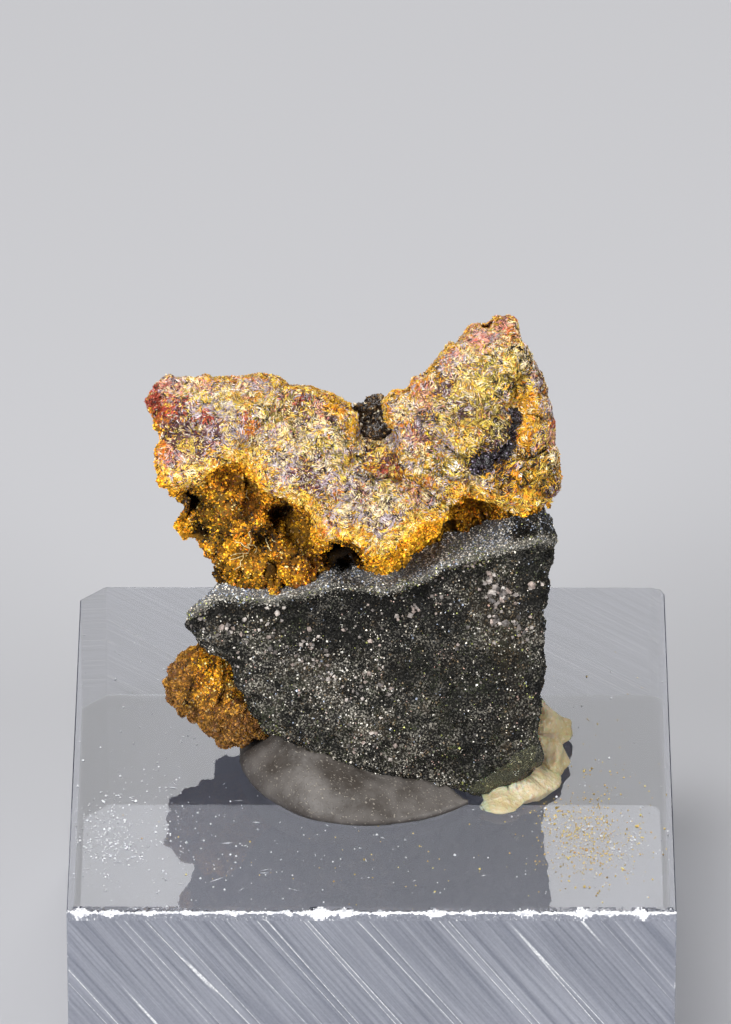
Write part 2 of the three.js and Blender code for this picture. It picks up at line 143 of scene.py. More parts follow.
class Finish:
    """A material under construction, with its Principled shader and its object coordinates."""

    def __init__(self, name, **constants):
        self.material = bpy.data.materials.new(name)
        self.material.use_nodes = True
        self.tree = self.material.node_tree
        self.shader = self.tree.nodes["Principled BSDF"]
        for socket, value in constants.items():
            self.shader.inputs[socket.replace("_", " ")].default_value = value
        self.place = self.node("ShaderNodeTexCoord", {}, {}, "Object")

    def node(self, kind, settings, inputs, output=0):
        made = self.tree.nodes.new(kind)
        for setting, value in settings.items():
            setattr(made, setting, value)
        for socket, value in inputs.items():
            if isinstance(value, Wire):
                self.tree.links.new(value.socket, made.inputs[socket])
            else:
                made.inputs[socket].default_value = value
        return Wire(self, made.outputs[output])

    def noise(self, size, detail=2.0, place=None):
        """Noise with features of that size in millimetres."""
        inputs = {"Vector": place or self.place, "Scale": 1 / (size * MM), "Detail": detail}
        return self.node("ShaderNodeTexNoise", {}, inputs, "Fac")

    def mix(self, factor, first, second, blend="MIX"):
        settings = {"data_type": "RGBA", "blend_type": blend}
        return self.node("ShaderNodeMix", settings, {0: factor, 6: first, 7: second}, 2)

    def painted(self, name, output="Color"):
        return self.node("ShaderNodeAttribute", {"attribute_name": name}, {}, output)

    def feed(self, **inputs):
        for socket, value in inputs.items():
            self.tree.links.new(value.socket, self.shader.inputs[socket.replace("_", " ")])

    def bump(self, height, depth):
        """Surface relief of that depth in millimetres."""
        made = self.node("ShaderNodeBump", {}, {"Height": height, "Distance": depth * MM})
        self.feed(Normal=made)


def paint(red, green, blue):
    """A colour as read off a screen, 0 to 255, as the linear colour that shaders use."""
    return tuple(((c / 255 + 0.055) / 1.055) ** 2.4 if c > 10 else c / 3294 for c in (red, green, blue))


def opaque(colour):
    return (*colour, 1.0)


# %% [markdown]
# The specimen's broad face leans back by 31.8 degrees, so it looks straight at the camera. Its
# features are easiest to place in a frame of their own: u to the right, v up the face and w
# out of it, in millimetres from the middle of the block's top.

# %% The frame of the broad face
FACE_TILT = math.radians(31.8)
SIN = math.sin(FACE_TILT)
COS = math.cos(FACE_TILT)
FACE_OUT = np.array([0, -COS, SIN])
UP_FACE = np.array([0, SIN, COS])
ACROSS_FACE = np.array([1, 0, 0])


def on_face(points):
    """Points in metres as u, v and w in millimetres."""
    x, y, z = points.T / MM
    high = z - BLOCK_TOP / MM
    return np.column_stack([x, y * SIN + high * COS, high * SIN - y * COS])


def onto_line(spots, line):
    """The way from each (u, v) to the nearest place on an open line of corners."""
    corners = np.array(line)
    start = corners[:-1]
    reach = corners[1:] - start
    from_start = spots[:, None, :] - start
    share = np.clip((from_start * reach).sum(2) / (reach**2).sum(1), 0, 1)
    ways = share[:, :, None] * reach - from_start
    nearest = (ways**2).sum(2).argmin(1)
    return ways[np.arange(len(spots)), nearest]


def line_distance(spots, line):
    """Distance of each (u, v) to an open line of corners."""
    return np.linalg.norm(onto_line(spots, line), axis=1)


def inside(spots, line):
    """Whether each (u, v) lies inside a closed line of corners."""
    within = np.zeros(len(spots), bool)
    for (au, av), (bu, bv) in zip(line, line[1:] + line[:1]):
        if av == bv:
            continue
        crossing = au + (spots[:, 1] - av) / (bv - av) * (bu - au)
        within ^= ((av > spots[:, 1]) != (bv > spots[:, 1])) & (spots[:, 0] < crossing)
    return within


def soft_step(values, low, high):
    share = np.clip((values - low) / (high - low), 0, 1)
    return share * share * (3 - 2 * share)


def lumps(points, size, seed=0.0):
    """Smooth noise, -1 to 1, with lumps of that size in millimetres."""
    return np.array([noise.noise(Vector(p)) for p in points / (size * MM) + seed])


def knobs(points, size, seed=0.0):
    """Rounded knobs, 1 at the middle of each and 0 between them."""
    near = np.array([noise.voronoi(Vector(p))[0][0] for p in points / (size * MM) + seed])
    return 1 - np.minimum(1, 1.3 * near) ** 2


# %% [markdown]
# The stone, the putty and the glue start as copies of their solids. A copy's loose triangles are
# merged, and a voxel remesh then gives it small even faces, because they can be pushed in and
# out without stretching. Subdividing the triangles would keep their uneven sizes, so it isn't
# used here.

# %% Fine copies of the solids
def mesh_arrays(mesh):
    points = np.empty(len(mesh.vertices) * 3)
    mesh.vertices.foreach_get("co", points)
    normals = np.empty(len(mesh.vertices) * 3)
    mesh.vertex_normals.foreach_get("vector", normals)
    return points.reshape(-1, 3), normals.reshape(-1, 3)


def set_points(mesh, points):
    mesh.vertices.foreach_set("co", points.ravel())
    mesh.update()


def smooth(form, rounds):
    """Moves every point half way to the middle of its neighbours, some rounds over."""
    for _ in range(rounds):
        bmesh.ops.smooth_vert(
            form, verts=form.verts, factor=0.5, use_axis_x=True, use_axis_y=True, use_axis_z=True
        )


def fine_copy(node, name, cell, relax):
    """A copy of a solid with even faces of that size in millimetres, relaxed some rounds."""
    form = bmesh.new()
    form.from_mesh(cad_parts[node].data)
    bmesh.ops.remove_doubles(form, verts=form.verts, dist=0.001 * MM)
    mesh = bpy.data.meshes.new(name)
    form.to_mesh(mesh)
    form.free()
    piece = placed(name, mesh)
    remesh = piece.modifiers.new("remesh", "REMESH")
    remesh.mode = "VOXEL"
    remesh.voxel_size = cell * MM
    seen = piece.evaluated_get(bpy.context.evaluated_depsgraph_get())
    piece.data = bpy.data.meshes.new_from_object(seen)
    piece.modifiers.clear()
    form = bmesh.new()
    form.from_mesh(piece.data)
    smooth(form, relax)
    form.to_mesh(piece.data)
    form.free()
    piece.data.shade_smooth()
    print(name, "has", len(piece.data.vertices), "points")
    return piece


def surface_tree(piece):
    """A piece's surface as it is now, ready for finding near spots and for rays."""
    mesh = piece.data
    return BVHTree.FromPolygons([v.co for v in mesh.vertices], [p.vertices for p in mesh.polygons])


def close_gap(piece, neighbour, reach, sink, behind=99):
    """Draws what faces a neighbour, where w is below behind, onto it, so that no gap shows."""
    points, normals = mesh_arrays(piece.data)
    depth = on_face(points)[:, 2]
    tree = surface_tree(neighbour)
    for i, (point, normal) in enumerate(zip(points, normals)):
        near, _, _, distance = tree.find_nearest(Vector(point), reach * MM)
        if near is None or distance == 0 or depth[i] > behind:
            continue
        towards = (np.array(near) - point) / distance
        if towards @ normal > 0.2:
            points[i] += towards * (distance + sink * MM) * min(1, 2 - 2 * distance / (reach * MM))
    set_points(piece.data, points)


def paint_tints(mesh, tints):
    layer = mesh.color_attributes.new("tint", "FLOAT_COLOR", "POINT")
    layer.data.foreach_set("color", np.column_stack([tints, np.ones(len(tints))]).ravel())


def paint_mask(mesh, name, values):
    layer = mesh.attributes.new(name, "FLOAT", "POINT")
    layer.data.foreach_set("value", values)


def settle(piece, slot, finish, *nodes):
    """Rides a finished piece on the part with its finish, and hides the solids it stands for. The slot is
    not used.
    """
    piece.data.materials.clear()
    piece.data.materials.append(finish.material)
    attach(piece, "root")
    if nodes:
        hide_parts(*nodes)


# %% [markdown]
# Crystals and sand are far too many to model one by one. One small shape is made, and copies of
# it are turned, stretched and joined into one mesh. Each copy keeps a tint of its own, which
# gives the felt its salt and pepper look from a step away.

# %% Sowing small shapes over a surface
def pointed(sides):
    """A crystal with a point at each end, and twice as many faces as it has sides."""
    form = bmesh.new()
    bmesh.ops.create_uvsphere(form, u_segments=sides, v_segments=2, radius=1)
    return form


def lath():
    """A needle with chisel ends, of the fewest faces that still look like a crystal."""
    form = bmesh.new()
    corners = [form.verts.new(c) for c in ((1, 0.8, 0), (1, -0.8, 0), (-1, 0, 0.8), (-1, 0, -0.8))]
    bmesh.ops.convex_hull(form, input=corners)
    bmesh.ops.recalc_face_normals(form, faces=form.faces)
    return form


def crowd(name, form, spots, frames, tints):
    """Joins copies of a form at the spots; each frame's columns are a copy's scaled axes."""
    bmesh.ops.triangulate(form, faces=form.faces)
    form.verts.index_update()
    corners = np.array([v.co for v in form.verts])
    faces = np.array([[v.index for v in f.verts] for f in form.faces])
    form.free()
    points = spots[:, None, :] + np.einsum("nij,kj->nki", frames, corners)
    index = faces[None] + (np.arange(len(spots)) * len(corners))[:, None, None]
    mesh = bpy.data.meshes.new(name)
    mesh.from_pydata(points.reshape(-1, 3), [], index.reshape(-1, 3))
    paint_tints(mesh, np.repeat(tints, len(corners), axis=0))
    piece = placed(name, mesh)
    print(name, "has", len(spots), "copies and", len(index) * len(faces), "triangles")
    return piece


def sow(mesh, count, chance, dice):
    """Random spots on a mesh with their normals; chance weighs each point of the mesh."""
    mesh.calc_loop_triangles()
    triangles = np.empty(len(mesh.loop_triangles) * 3, dtype=np.int32)
    mesh.loop_triangles.foreach_get("vertices", triangles)
    triangles = triangles.reshape(-1, 3)
    points, normals = mesh_arrays(mesh)
    a, b, c = (points[triangles[:, i]] for i in range(3))
    area = np.linalg.norm(np.cross(b - a, c - a), axis=1)
    weight = area * chance[triangles].mean(1)
    chosen = dice.choice(len(triangles), count, p=weight / weight.sum())
    share = dice.dirichlet((1, 1, 1), count)[:, :, None]
    picked = triangles[chosen]
    spots = (points[picked] * share).sum(1)
    facing = (normals[picked] * share).sum(1)

    def carry(values):
        """A value of every point of the mesh, brought to the spots."""
        return (values[picked] * share[:, :, 0]).sum(1)

    return spots, facing / np.linalg.norm(facing, axis=1)[:, None], carry


def frames_along(axis, hint, lengths, widths, depths):
    """Axes of crystals whose long side follows axis, scaled to half sizes in millimetres."""
    long = axis / np.linalg.norm(axis, axis=1)[:, None]
    side = np.cross(hint, long)
    side /= np.linalg.norm(side, axis=1)[:, None] + 1e-12
    up = np.cross(long, side)
    parts = ((long, lengths), (side, widths), (up, depths))
    return np.stack([part * (size * MM / 2)[:, None] for part, size in parts], axis=2)


def tufts(points, size, seed=0.0):
    """The middle of the tuft that each point is in, how far inside it is, and the tuft's own lot."""
    near = [noise.voronoi(Vector(p)) for p in points / (size * MM) + seed]
    middles = np.array([n[1][0] for n in near])
    within = np.array([n[0][1] - n[0][0] for n in near])
    lots = np.modf(np.abs(np.sin(middles @ (12.99, 78.23, 37.72)) * 43758.55))[0]
    return (middles - seed) * size * MM, within, lots


def pick_tints(palette, weights, dice, spread=0.12, lots=None, alike=0.0):
    """One colour of the palette for each row of weights; a share alike goes by the lots given."""
    share = (weights / weights.sum(1, keepdims=True)).cumsum(1)
    draw = dice.random(len(weights))
    if lots is not None:
        draw = np.where(dice.random(len(weights)) < alike, lots, draw)
    chosen = (draw[:, None] > share[:, :-1]).sum(1)
    return np.array(palette)[chosen] * np.exp(dice.normal(0, spread, (len(weights), 1)))


# %% [markdown]
# The crust is broken across, so the camera sees into the felt: a plate of matted needles with a
# golden rim, and under it drusy walls with pits. Its colours follow zones that are named here
# by their place on the face, each with the colour that it favours.

# %% Where things are on the crust
CROWN = [
    (-11.1, 17.3), (-10.9, 17.9), (-10.1, 18.4), (-8.6, 18.5), (-7.9, 18.3), (-6.3, 18.4),
    (-5.5, 18.5), (-4.4, 18.3), (-4.2, 17.9), (-3.1, 17.9), (-1.6, 17.4), (-0.7, 16.7),
    (-0.4, 16.0), (0.2, 15.4), (0.9, 15.8), (0.7, 16.8), (0.5, 17.4), (1.0, 17.7),
    (1.9, 17.7), (2.1, 18.3), (2.6, 18.4), (3.1, 19.3), (4.3, 20.4), (5.0, 21.0),
    (5.8, 21.0), (6.5, 21.7), (7.0, 21.4), (7.3, 20.2), (8.3, 18.8), (8.7, 17.4),
    (9.1, 15.5), (9.4, 13.1), (9.3, 12.0),
]
RIM = [
    (8.7, 12.0), (7.9, 12.1), (7.3, 11.7), (6.7, 11.8), (5.6, 12.4), (4.6, 12.7),
    (3.9, 12.2), (3.6, 11.5), (2.4, 11.2), (1.4, 10.3), (0.6, 9.6), (-0.4, 9.9),
    (-1.0, 10.5), (-2.5, 10.4), (-3.0, 11.7), (-3.9, 12.3), (-5.1, 12.5), (-5.7, 13.7),
    (-6.5, 14.3), (-7.8, 14.1), (-8.6, 13.1), (-9.7, 12.9), (-10.4, 13.4), (-10.7, 14.3),
    (-10.3, 15.8), (-10.9, 16.6),
]
PLATE = CROWN + RIM

# u, v, radius and depth of the pits, in millimetres
PITS = [
    (-1.4, 9.45, 0.75, 2.0), (-4.45, 11.75, 0.55, 1.1), (-5.3, 10.45, 0.5, 0.5),
    (-9.0, 12.6, 0.55, 0.7), (-8.3, 10.8, 0.5, 0.45), (5.5, 11.5, 0.7, 0.25), (-3.2, 9.9, 0.35, 0.35),
    (6.9, 11.1, 0.5, 0.4),
]

# Cracks and steps in the plate: depth, half width and their line
VEIN_LINE = [(6.9, 17.0), (7.05, 16.0), (6.8, 14.9), (6.2, 14.1), (5.3, 13.9)]
CRACKS = [
    (0.6, 0.3, VEIN_LINE), (0.55, 0.14, [(7.25, 16.3), (7.15, 15.2), (6.9, 14.5)]),
    (0.5, 0.11, [(7.0, 14.35), (7.9, 14.45), (8.6, 14.9)]),
    (0.4, 0.1, [(7.3, 16.85), (8.0, 16.6), (8.6, 16.4)]),
    (0.3, 0.09, [(5.2, 16.2), (6.5, 16.75)]),
    (0.38, 0.13, [(3.6, 15.0), (4.4, 14.5), (5.3, 14.4)]),
    (0.42, 0.13, [(-0.7, 13.55), (0.3, 13.4), (0.9, 13.5), (1.4, 13.3)]),
    (0.35, 0.12, [(6.3, 12.9), (6.9, 13.5), (7.3, 13.0), (7.9, 13.3)]),
    (0.3, 0.09, [(2.4, 13.1), (3.1, 12.5), (3.8, 12.0)]),
    (0.4, 0.13, [(6.7, 18.6), (7.1, 18.2), (7.0, 17.6)]),
    (0.2, 0.1, [(3.4, 13.6), (4.1, 13.3), (4.6, 13.5)]),
]

FELT = {
    "cream": paint(246, 224, 176), "yellow": paint(240, 204, 92), "gold": paint(228, 168, 42),
    "orange": paint(212, 126, 48), "lilac": paint(188, 172, 178), "purple": paint(100, 62, 66),
    "pink": paint(226, 160, 142), "red": paint(190, 84, 64), "olive": paint(160, 142, 66),
    "dark": paint(34, 25, 22), "white": paint(250, 244, 236),
}
FELT_SHARE = {
    "cream": 0.23, "yellow": 0.17, "gold": 0.06, "orange": 0.02, "lilac": 0.19, "purple": 0.11,
    "pink": 0.025, "red": 0.002, "olive": 0.07, "dark": 0.11, "white": 0.025,
}

# Colour, u, v, radius and strength of each zone of the felt
FELT_ZONES = [
    ("red", -10.8, 17.3, 0.6, 5.0), ("red", -10.4, 16.7, 0.4, 1.2), ("pink", -10.0, 17.9, 0.7, 0.8),
    ("orange", -10.7, 16.3, 0.4, 3.0), ("red", -9.6, 16.9, 0.5, 1.5), ("purple", -9.8, 16.3, 0.7, 2.0),
    ("orange", -10.4, 14.9, 0.35, 3.0), ("pink", -9.9, 14.3, 0.6, 1.2), ("purple", -9.7, 15.0, 0.8, 1.0),
    ("purple", -8.0, 15.6, 0.7, 1.2), ("red", -8.3, 16.4, 0.4, 1.2), ("lilac", -7.4, 15.7, 0.9, 1.4),
    ("purple", -8.4, 14.9, 0.5, 1.4), ("lilac", -8.9, 16.2, 0.6, 0.8), ("yellow", -9.2, 15.2, 0.3, 1.6),
    ("orange", -6.1, 15.9, 0.35, 1.4), ("red", -6.2, 16.4, 0.25, 1.0), ("yellow", -6.4, 17.1, 0.8, 0.8),
    ("yellow", -5.9, 14.7, 0.5, 1.2), ("gold", -6.3, 14.8, 0.4, 1.2), ("lilac", -7.6, 17.4, 0.8, 0.3),
    ("pink", -8.2, 18.3, 0.45, 1.6), ("pink", -6.0, 18.2, 0.6, 1.2), ("orange", -6.7, 18.3, 0.3, 0.8),
    ("gold", -5.2, 17.6, 0.6, 0.8), ("purple", -4.0, 17.1, 0.7, 1.0), ("red", -3.6, 17.3, 0.4, 0.7),
    ("olive", -4.4, 16.4, 1.1, 0.5), ("pink", -2.7, 17.0, 0.3, 1.0), ("gold", -1.7, 17.0, 0.5, 1.6),
    ("gold", -0.9, 15.9, 0.5, 1.4), ("cream", -3.6, 15.6, 1.2, 0.8), ("yellow", -3.0, 15.3, 0.6, 0.7),
    ("olive", -1.9, 14.7, 0.8, 0.6), ("lilac", -4.6, 13.9, 0.9, 1.4), ("purple", -3.2, 13.3, 0.6, 1.8),
    ("lilac", -2.4, 13.5, 0.6, 1.6), ("purple", -5.0, 13.1, 0.4, 1.6), ("pink", -4.6, 13.2, 0.3, 1.0),
    ("lilac", -1.6, 12.4, 0.7, 1.3), ("lilac", -0.6, 11.6, 0.5, 1.2), ("gold", -2.1, 12.1, 0.35, 1.8),
    ("orange", -1.8, 12.6, 0.3, 1.6), ("pink", -2.4, 11.1, 0.35, 1.3), ("orange", -2.3, 10.6, 0.3, 2.6),
    ("cream", 0.9, 12.1, 0.9, 0.9), ("lilac", 0.9, 11.2, 0.5, 1.4), ("olive", 0.5, 12.9, 0.6, 0.8),
    ("red", 0.6, 13.9, 0.5, 1.6), ("purple", 0.6, 14.0, 0.5, 1.2), ("orange", 1.3, 13.6, 0.3, 2.4),
    ("gold", -0.1, 13.9, 0.3, 1.2), ("purple", 2.4, 15.5, 0.5, 2.4), ("pink", 2.2, 15.3, 0.5, 1.0),
    ("lilac", 1.1, 15.5, 0.45, 2.6), ("orange", 1.5, 16.1, 0.3, 1.6), ("cream", 1.4, 17.0, 0.6, 1.2),
    ("gold", 1.2, 17.5, 0.35, 1.6), ("pink", 2.6, 17.4, 0.5, 1.6), ("orange", 2.1, 18.1, 0.3, 1.4),
    ("purple", 3.5, 17.9, 0.45, 1.6), ("lilac", 3.9, 18.9, 0.5, 0.9), ("white", 4.3, 17.6, 0.5, 0.6),
    ("purple", 4.4, 16.9, 0.5, 1.4), ("pink", 5.4, 20.5, 0.65, 3.4), ("pink", 4.0, 19.5, 0.4, 1.6),
    ("orange", 3.7, 19.0, 0.3, 0.7), ("gold", 3.0, 18.7, 0.4, 1.0), ("orange", 6.75, 20.5, 0.3, 4.0),
    ("pink", 6.6, 21.1, 0.4, 2.6), ("gold", 6.2, 21.2, 0.25, 1.6), ("olive", 6.4, 18.8, 1.0, 0.8),
    ("yellow", 5.2, 18.6, 1.4, 1.0), ("cream", 4.6, 18.2, 1.2, 0.8), ("cream", 6.4, 20.0, 0.7, 0.8),
    ("yellow", 5.7, 19.5, 0.4, 1.2), ("yellow", 5.6, 18.0, 0.9, 1.0), ("olive", 5.4, 17.4, 0.9, 0.9),
    ("dark", 6.3, 17.9, 0.7, 0.8), ("dark", 5.9, 14.3, 0.65, 6.0), ("purple", 6.0, 14.5, 0.9, 2.0),
    ("dark", 7.0, 17.9, 0.3, 1.6), ("yellow", 4.8, 15.7, 0.9, 2.0),
    ("gold", 5.0, 15.4, 0.7, 1.4), ("dark", 6.1, 15.7, 0.5, 1.4), ("olive", 5.7, 15.4, 0.7, 1.2),
    ("olive", 3.4, 14.3, 0.9, 0.9), ("lilac", 3.6, 14.9, 0.4, 1.4), ("dark", 3.2, 13.8, 0.35, 1.4),
    ("gold", 7.5, 15.4, 0.45, 6.0), ("gold", 7.5, 17.4, 0.6, 4.0), ("gold", 7.3, 13.2, 1.1, 8.0),
    ("dark", 7.5, 13.5, 1.1, 4.0),
    ("olive", 7.8, 13.2, 0.9, 2.2), ("purple", 7.2, 12.6, 0.7, 1.5), ("gold", 2.0, 14.2, 1.4, 0.6),
    ("orange", 7.3, 13.0, 0.6, 1.5), ("dark", 7.0, 13.6, 0.5, 1.2), ("orange", 7.4, 15.3, 0.3, 1.2),
    ("yellow", 8.3, 15.6, 0.5, 1.5), ("gold", 8.0, 16.4, 0.5, 1.6),
    ("yellow", 8.4, 13.9, 0.5, 2.4), ("pink", 9.0, 15.4, 0.35, 2.2), ("cream", 9.1, 14.4, 0.35, 1.6),
    ("lilac", 8.7, 17.0, 0.3, 1.4), ("purple", 8.8, 12.6, 0.45, 4.0), ("red", 9.0, 16.2, 0.25, 1.0),
    ("gold", 3.4, 13.6, 0.5, 1.2), ("orange", 2.9, 13.3, 0.3, 1.8), ("pink", 2.4, 12.4, 0.4, 2.0),
    ("lilac", 2.6, 12.1, 0.3, 1.6), ("gold", 2.0, 12.8, 0.3, 1.2), ("dark", 5.6, 14.6, 0.5, 1.6),
]

DRUSY = {
    "amber": paint(206, 138, 28), "gold": paint(250, 182, 40), "brown": paint(118, 64, 18),
    "dark": paint(28, 18, 12), "olive": paint(132, 108, 30), "cream": paint(255, 230, 150),
    "orange": paint(208, 120, 26),
}
DRUSY_SHARE = {
    "amber": 0.32, "gold": 0.34, "brown": 0.13, "dark": 0.1, "olive": 0.06, "cream": 0.03, "orange": 0.02,
}

# Colour, u, v, radius and strength of each zone of the walls. The dark zones that sit on the pits, and the
# brown one at u -4.5, are painted shade in them.
DRUSY_ZONES = [
    ("brown", -6.8, 13.6, 0.35, 2.0), ("brown", -9.6, 12.4, 0.4, 2.0), ("dark", -3.3, 11.2, 0.35, 1.5),
    ("gold", 3.3, 11.3, 0.6, 5.0), ("gold", 2.2, 10.4, 0.7, 5.0), ("gold", 1.1, 9.4, 0.7, 5.0),
    ("gold", 0.2, 8.9, 0.5, 3.0),
    ("dark", -5.2, 10.45, 0.5, 3.0), ("dark", -8.3, 10.9, 0.5, 1.5), ("dark", -9.0, 12.6, 0.5, 2.0),
    ("dark", -1.4, 9.4, 0.7, 8.0), ("brown", -4.5, 11.8, 0.6, 3.0), ("dark", -4.4, 11.9, 0.4, 2.0),
    ("orange", -6.0, 12.2, 0.5, 2.0), ("gold", -4.0, 10.9, 0.6, 1.2), ("gold", -6.5, 14.0, 0.6, 1.2),
    ("gold", -9.6, 11.4, 0.5, 1.2), ("olive", -8.0, 11.9, 0.8, 0.8), ("brown", -3.0, 8.6, 1.0, 1.2),
    ("olive", -6.5, 8.0, 0.8, 0.7), ("brown", 5.6, 11.5, 1.0, 1.2), ("gold", 5.4, 11.6, 0.9, 1.2),
    ("dark", 7.0, 11.0, 0.6, 3.0),
    ("orange", 5.2, 11.9, 0.6, 1.6), ("dark", 3.9, 10.9, 0.5, 1.6), ("brown", -7.5, 13.3, 0.6, 1.0),
]


# %% Masks and colours of the crust
def plate_share(points, normals):
    """How much of each point belongs to the felted plate: 1 on it and 0 on the walls."""
    face = on_face(points)
    spots = face[:, :2] + 0.12 * np.column_stack([lumps(points, 0.6, 31.0), lumps(points, 0.6, 37.0)])
    from_rim = line_distance(spots, RIM)
    on_crown = line_distance(spots, CROWN) < np.minimum(from_rim, 0.5)
    edge = from_rim * np.where(inside(spots, PLATE) | on_crown, 1, -1)
    facing = normals @ FACE_OUT + 0.9 * on_crown
    return soft_step(edge, -0.1, 0.1) * soft_step(facing, 0.05, 0.35) * soft_step(face[:, 2], 5.0, 5.8)


def zoned(points, shares, zones, coarse, fine):
    """Share of every colour at each point: blotches of two sizes, then the named zones."""
    names = list(shares)
    weights = np.tile([shares[name] for name in names], (len(points), 1))
    for i in range(len(names)):
        blotches = 2.6 * lumps(points, coarse, 3.0 * i) + 2.2 * lumps(points, fine, 50 + 3.0 * i)
        weights[:, i] *= np.exp(blotches)
    spots = on_face(points)[:, :2]
    for name, u, v, radius, strength in zones:
        weights[:, names.index(name)] += strength * np.exp(-((spots - (u, v)) ** 2).sum(1) / radius**2)
    return weights


def felt_weights(points):
    weights = zoned(points, FELT_SHARE, FELT_ZONES, 1.3, 0.4)
    spots = on_face(points)[:, :2]
    names = list(FELT)
    rim = np.exp(-((line_distance(spots, RIM[:-3]) / 0.5) ** 2))
    top = np.exp(-((line_distance(spots, CROWN[3:-6]) / 0.2) ** 2))
    weights[:, names.index("gold")] += 3.0 * rim + 1.2 * top
    weights[:, names.index("yellow")] += 3.6 * rim + 1.0 * top
    weights[:, names.index("orange")] += 0.5 * rim + 0.3 * top
    weights[:, names.index("cream")] += 0.9 * rim
    return weights


def drusy_weights(points):
    weights = zoned(points, DRUSY_SHARE, DRUSY_ZONES, 0.9, 0.35)
    spots = on_face(points)[:, :2]
    names = list(DRUSY)
    band = np.exp(-((line_distance(spots, RIM[:-3]) / 0.6) ** 2))
    weights[:, names.index("gold")] += 1.6 * band
    weights[:, names.index("amber")] += 0.6 * band
    return weights


def mean_tint(palette, weights):
    return weights @ np.array(list(palette.values())) / weights.sum(1, keepdims=True)


# %% [markdown]
# Next, the crust's own body. Rounded knobs roughen its walls, soft lumps the plate, and the
# rim gets a clear step down to the walls, where the pits go in. These are moves of points on the
# fine copy, the way a sculptor would press clay, because the forms are irregular.

# %% Crust: the body
CRUST_CELL = 0.12
FRINGE = [(3.6, 11.3), (2.6, 10.7), (1.7, 9.9), (0.9, 9.1), (0.1, 8.9)]
RIPPLE = 0.3
CROWN_ROOM = 0.1


def within_crown(points):
    """Points that stray past the crown line, brought back to just outside it."""
    spots = on_face(points)[:, :2]
    way = onto_line(spots, CROWN)
    beyond = np.linalg.norm(way, axis=1)
    past_crown = ~inside(spots, PLATE) & (beyond < line_distance(spots, RIM))
    way *= (past_crown * np.maximum(beyond - CROWN_ROOM, 0) / (beyond + 1e-9))[:, None]
    return points + (way[:, :1] * ACROSS_FACE + way[:, 1:] * UP_FACE) * MM


crust = fine_copy("tsumcorite_crust", "crust_body", CRUST_CELL, 1)
points, normals = mesh_arrays(crust.data)
points = within_crown(points)
face = on_face(points)
spots = face[:, :2]
front = soft_step(normals @ FACE_OUT, 0.0, 0.4) * soft_step(face[:, 2], 5.0, 6.4)
outside = np.where(inside(spots, PLATE), 0, 1)
below_rim = outside * line_distance(spots, RIM)
fringe = np.exp(-((line_distance(spots, FRINGE) / 0.6) ** 2)) * front
depth = 0.75 * soft_step(below_rim, 0.12, 0.4) * front * (1 - fringe)
# A mask of the pits and cracks, for the painted shade in them
crack_shade = np.zeros(len(points))
for u, v, radius, deep in PITS:
    near = np.exp(-((((spots - (u, v)) ** 2).sum(1) / radius**2) ** 1.5))
    depth += deep * near * front
    crack_shade = np.maximum(crack_shade, min(1, deep) * near)
for deep, width, line in CRACKS:
    near = np.exp(-((line_distance(spots, line) / width) ** 2)) * front
    depth += deep * near
    crack_shade = np.maximum(crack_shade, near)
share = plate_share(points, normals)

# Relief in millimetres: of the plate, its rolled rim, the walls and the rippled fringe
felted = 0.34 * lumps(points, 2.0, 5.0) + 0.26 * lumps(points, 1.0) + 0.18 * lumps(points, 0.5, 4.0)
rolled = 0.16 * np.exp(-((line_distance(spots, RIM) / 0.3) ** 2)) * front
drusy = 0.7 * knobs(points, 1.2) + 0.32 * knobs(points, 0.5, 6.0) + 0.14 * knobs(points, 0.25, 9.0) - 0.75
ripple = np.sin(2 * np.pi * (spots[:, 1] + 0.3 * lumps(points, 0.8)) / RIPPLE)
crust_relief = felted * share + drusy * (1 - share) * (1 - 0.6 * fringe) + 0.08 * ripple * fringe + rolled
points += normals * (crust_relief * MM)[:, None] - FACE_OUT * (depth * MM)[:, None]
set_points(crust.data, within_crown(points))

# %% Rock: the body
ROCK_CELL = 0.13
LEDGE_LIP = [
    (-9.6, 6.5), (-8.9, 6.8), (-7.5, 7.5), (-4.8, 7.4), (-3.7, 7.7), (-1.6, 8.2), (0.6, 7.9),
    (2.1, 8.3), (2.6, 8.5), (3.6, 9.2), (5.6, 9.7), (7.1, 10.1), (8.2, 10.4), (9.3, 10.3),
]

rock = fine_copy("matrix_rock", "rock_body", ROCK_CELL, 2)
points, normals = mesh_arrays(rock.data)
face = on_face(points)
above = face[:, 1] - np.interp(face[:, 0], *np.array(LEDGE_LIP).T)
front = soft_step(normals @ FACE_OUT, -0.3, 0.3)
calm = 1 - 0.7 * soft_step(above, -0.1, 0.3) * front
rock_relief = 0.34 * lumps(points, 1.5, 2.0) + 0.2 * lumps(points, 0.6, 5.0)
rock_relief += 0.09 * knobs(points, 0.28, 1.0)
points += normals * (rock_relief * calm * MM)[:, None]
lip = 0.34 * np.exp(-((above / 0.2) ** 2)) - 0.42 * np.exp(-(((above + 0.5) / 0.3) ** 2))
for u, v, radius, deep in PITS[:1]:
    lip -= deep * np.exp(-((((face[:, :2] - (u, v)) ** 2).sum(1) / radius**2) ** 1.5))
points += FACE_OUT * (lip * front * MM)[:, None]
set_points(rock.data, points)


# %% Nodule, dark druse and seam: the bodies
def rough_body(node, name, cell, relax, knob, height):
    body = fine_copy(node, name, cell, relax)
    points, normals = mesh_arrays(body.data)
    relief = height * (knobs(points, knob, 3.0) - 0.5) + 0.5 * height * lumps(points, 0.5 * knob, 1.0)
    set_points(body.data, points + normals * (relief * MM)[:, None])
    return body


# Depth, half width and line of each crease
NODULE_CREASES = [
    (0.35, 0.14, [(-7.2, 5.0), (-7.4, 4.0), (-7.3, 3.0), (-7.6, 2.3)]),
    (0.2, 0.12, [(-6.4, 4.4), (-6.3, 3.2), (-6.6, 2.2)]),
    (0.2, 0.14, [(-8.9, 3.4), (-9.2, 2.4), (-8.8, 1.8)]),
]

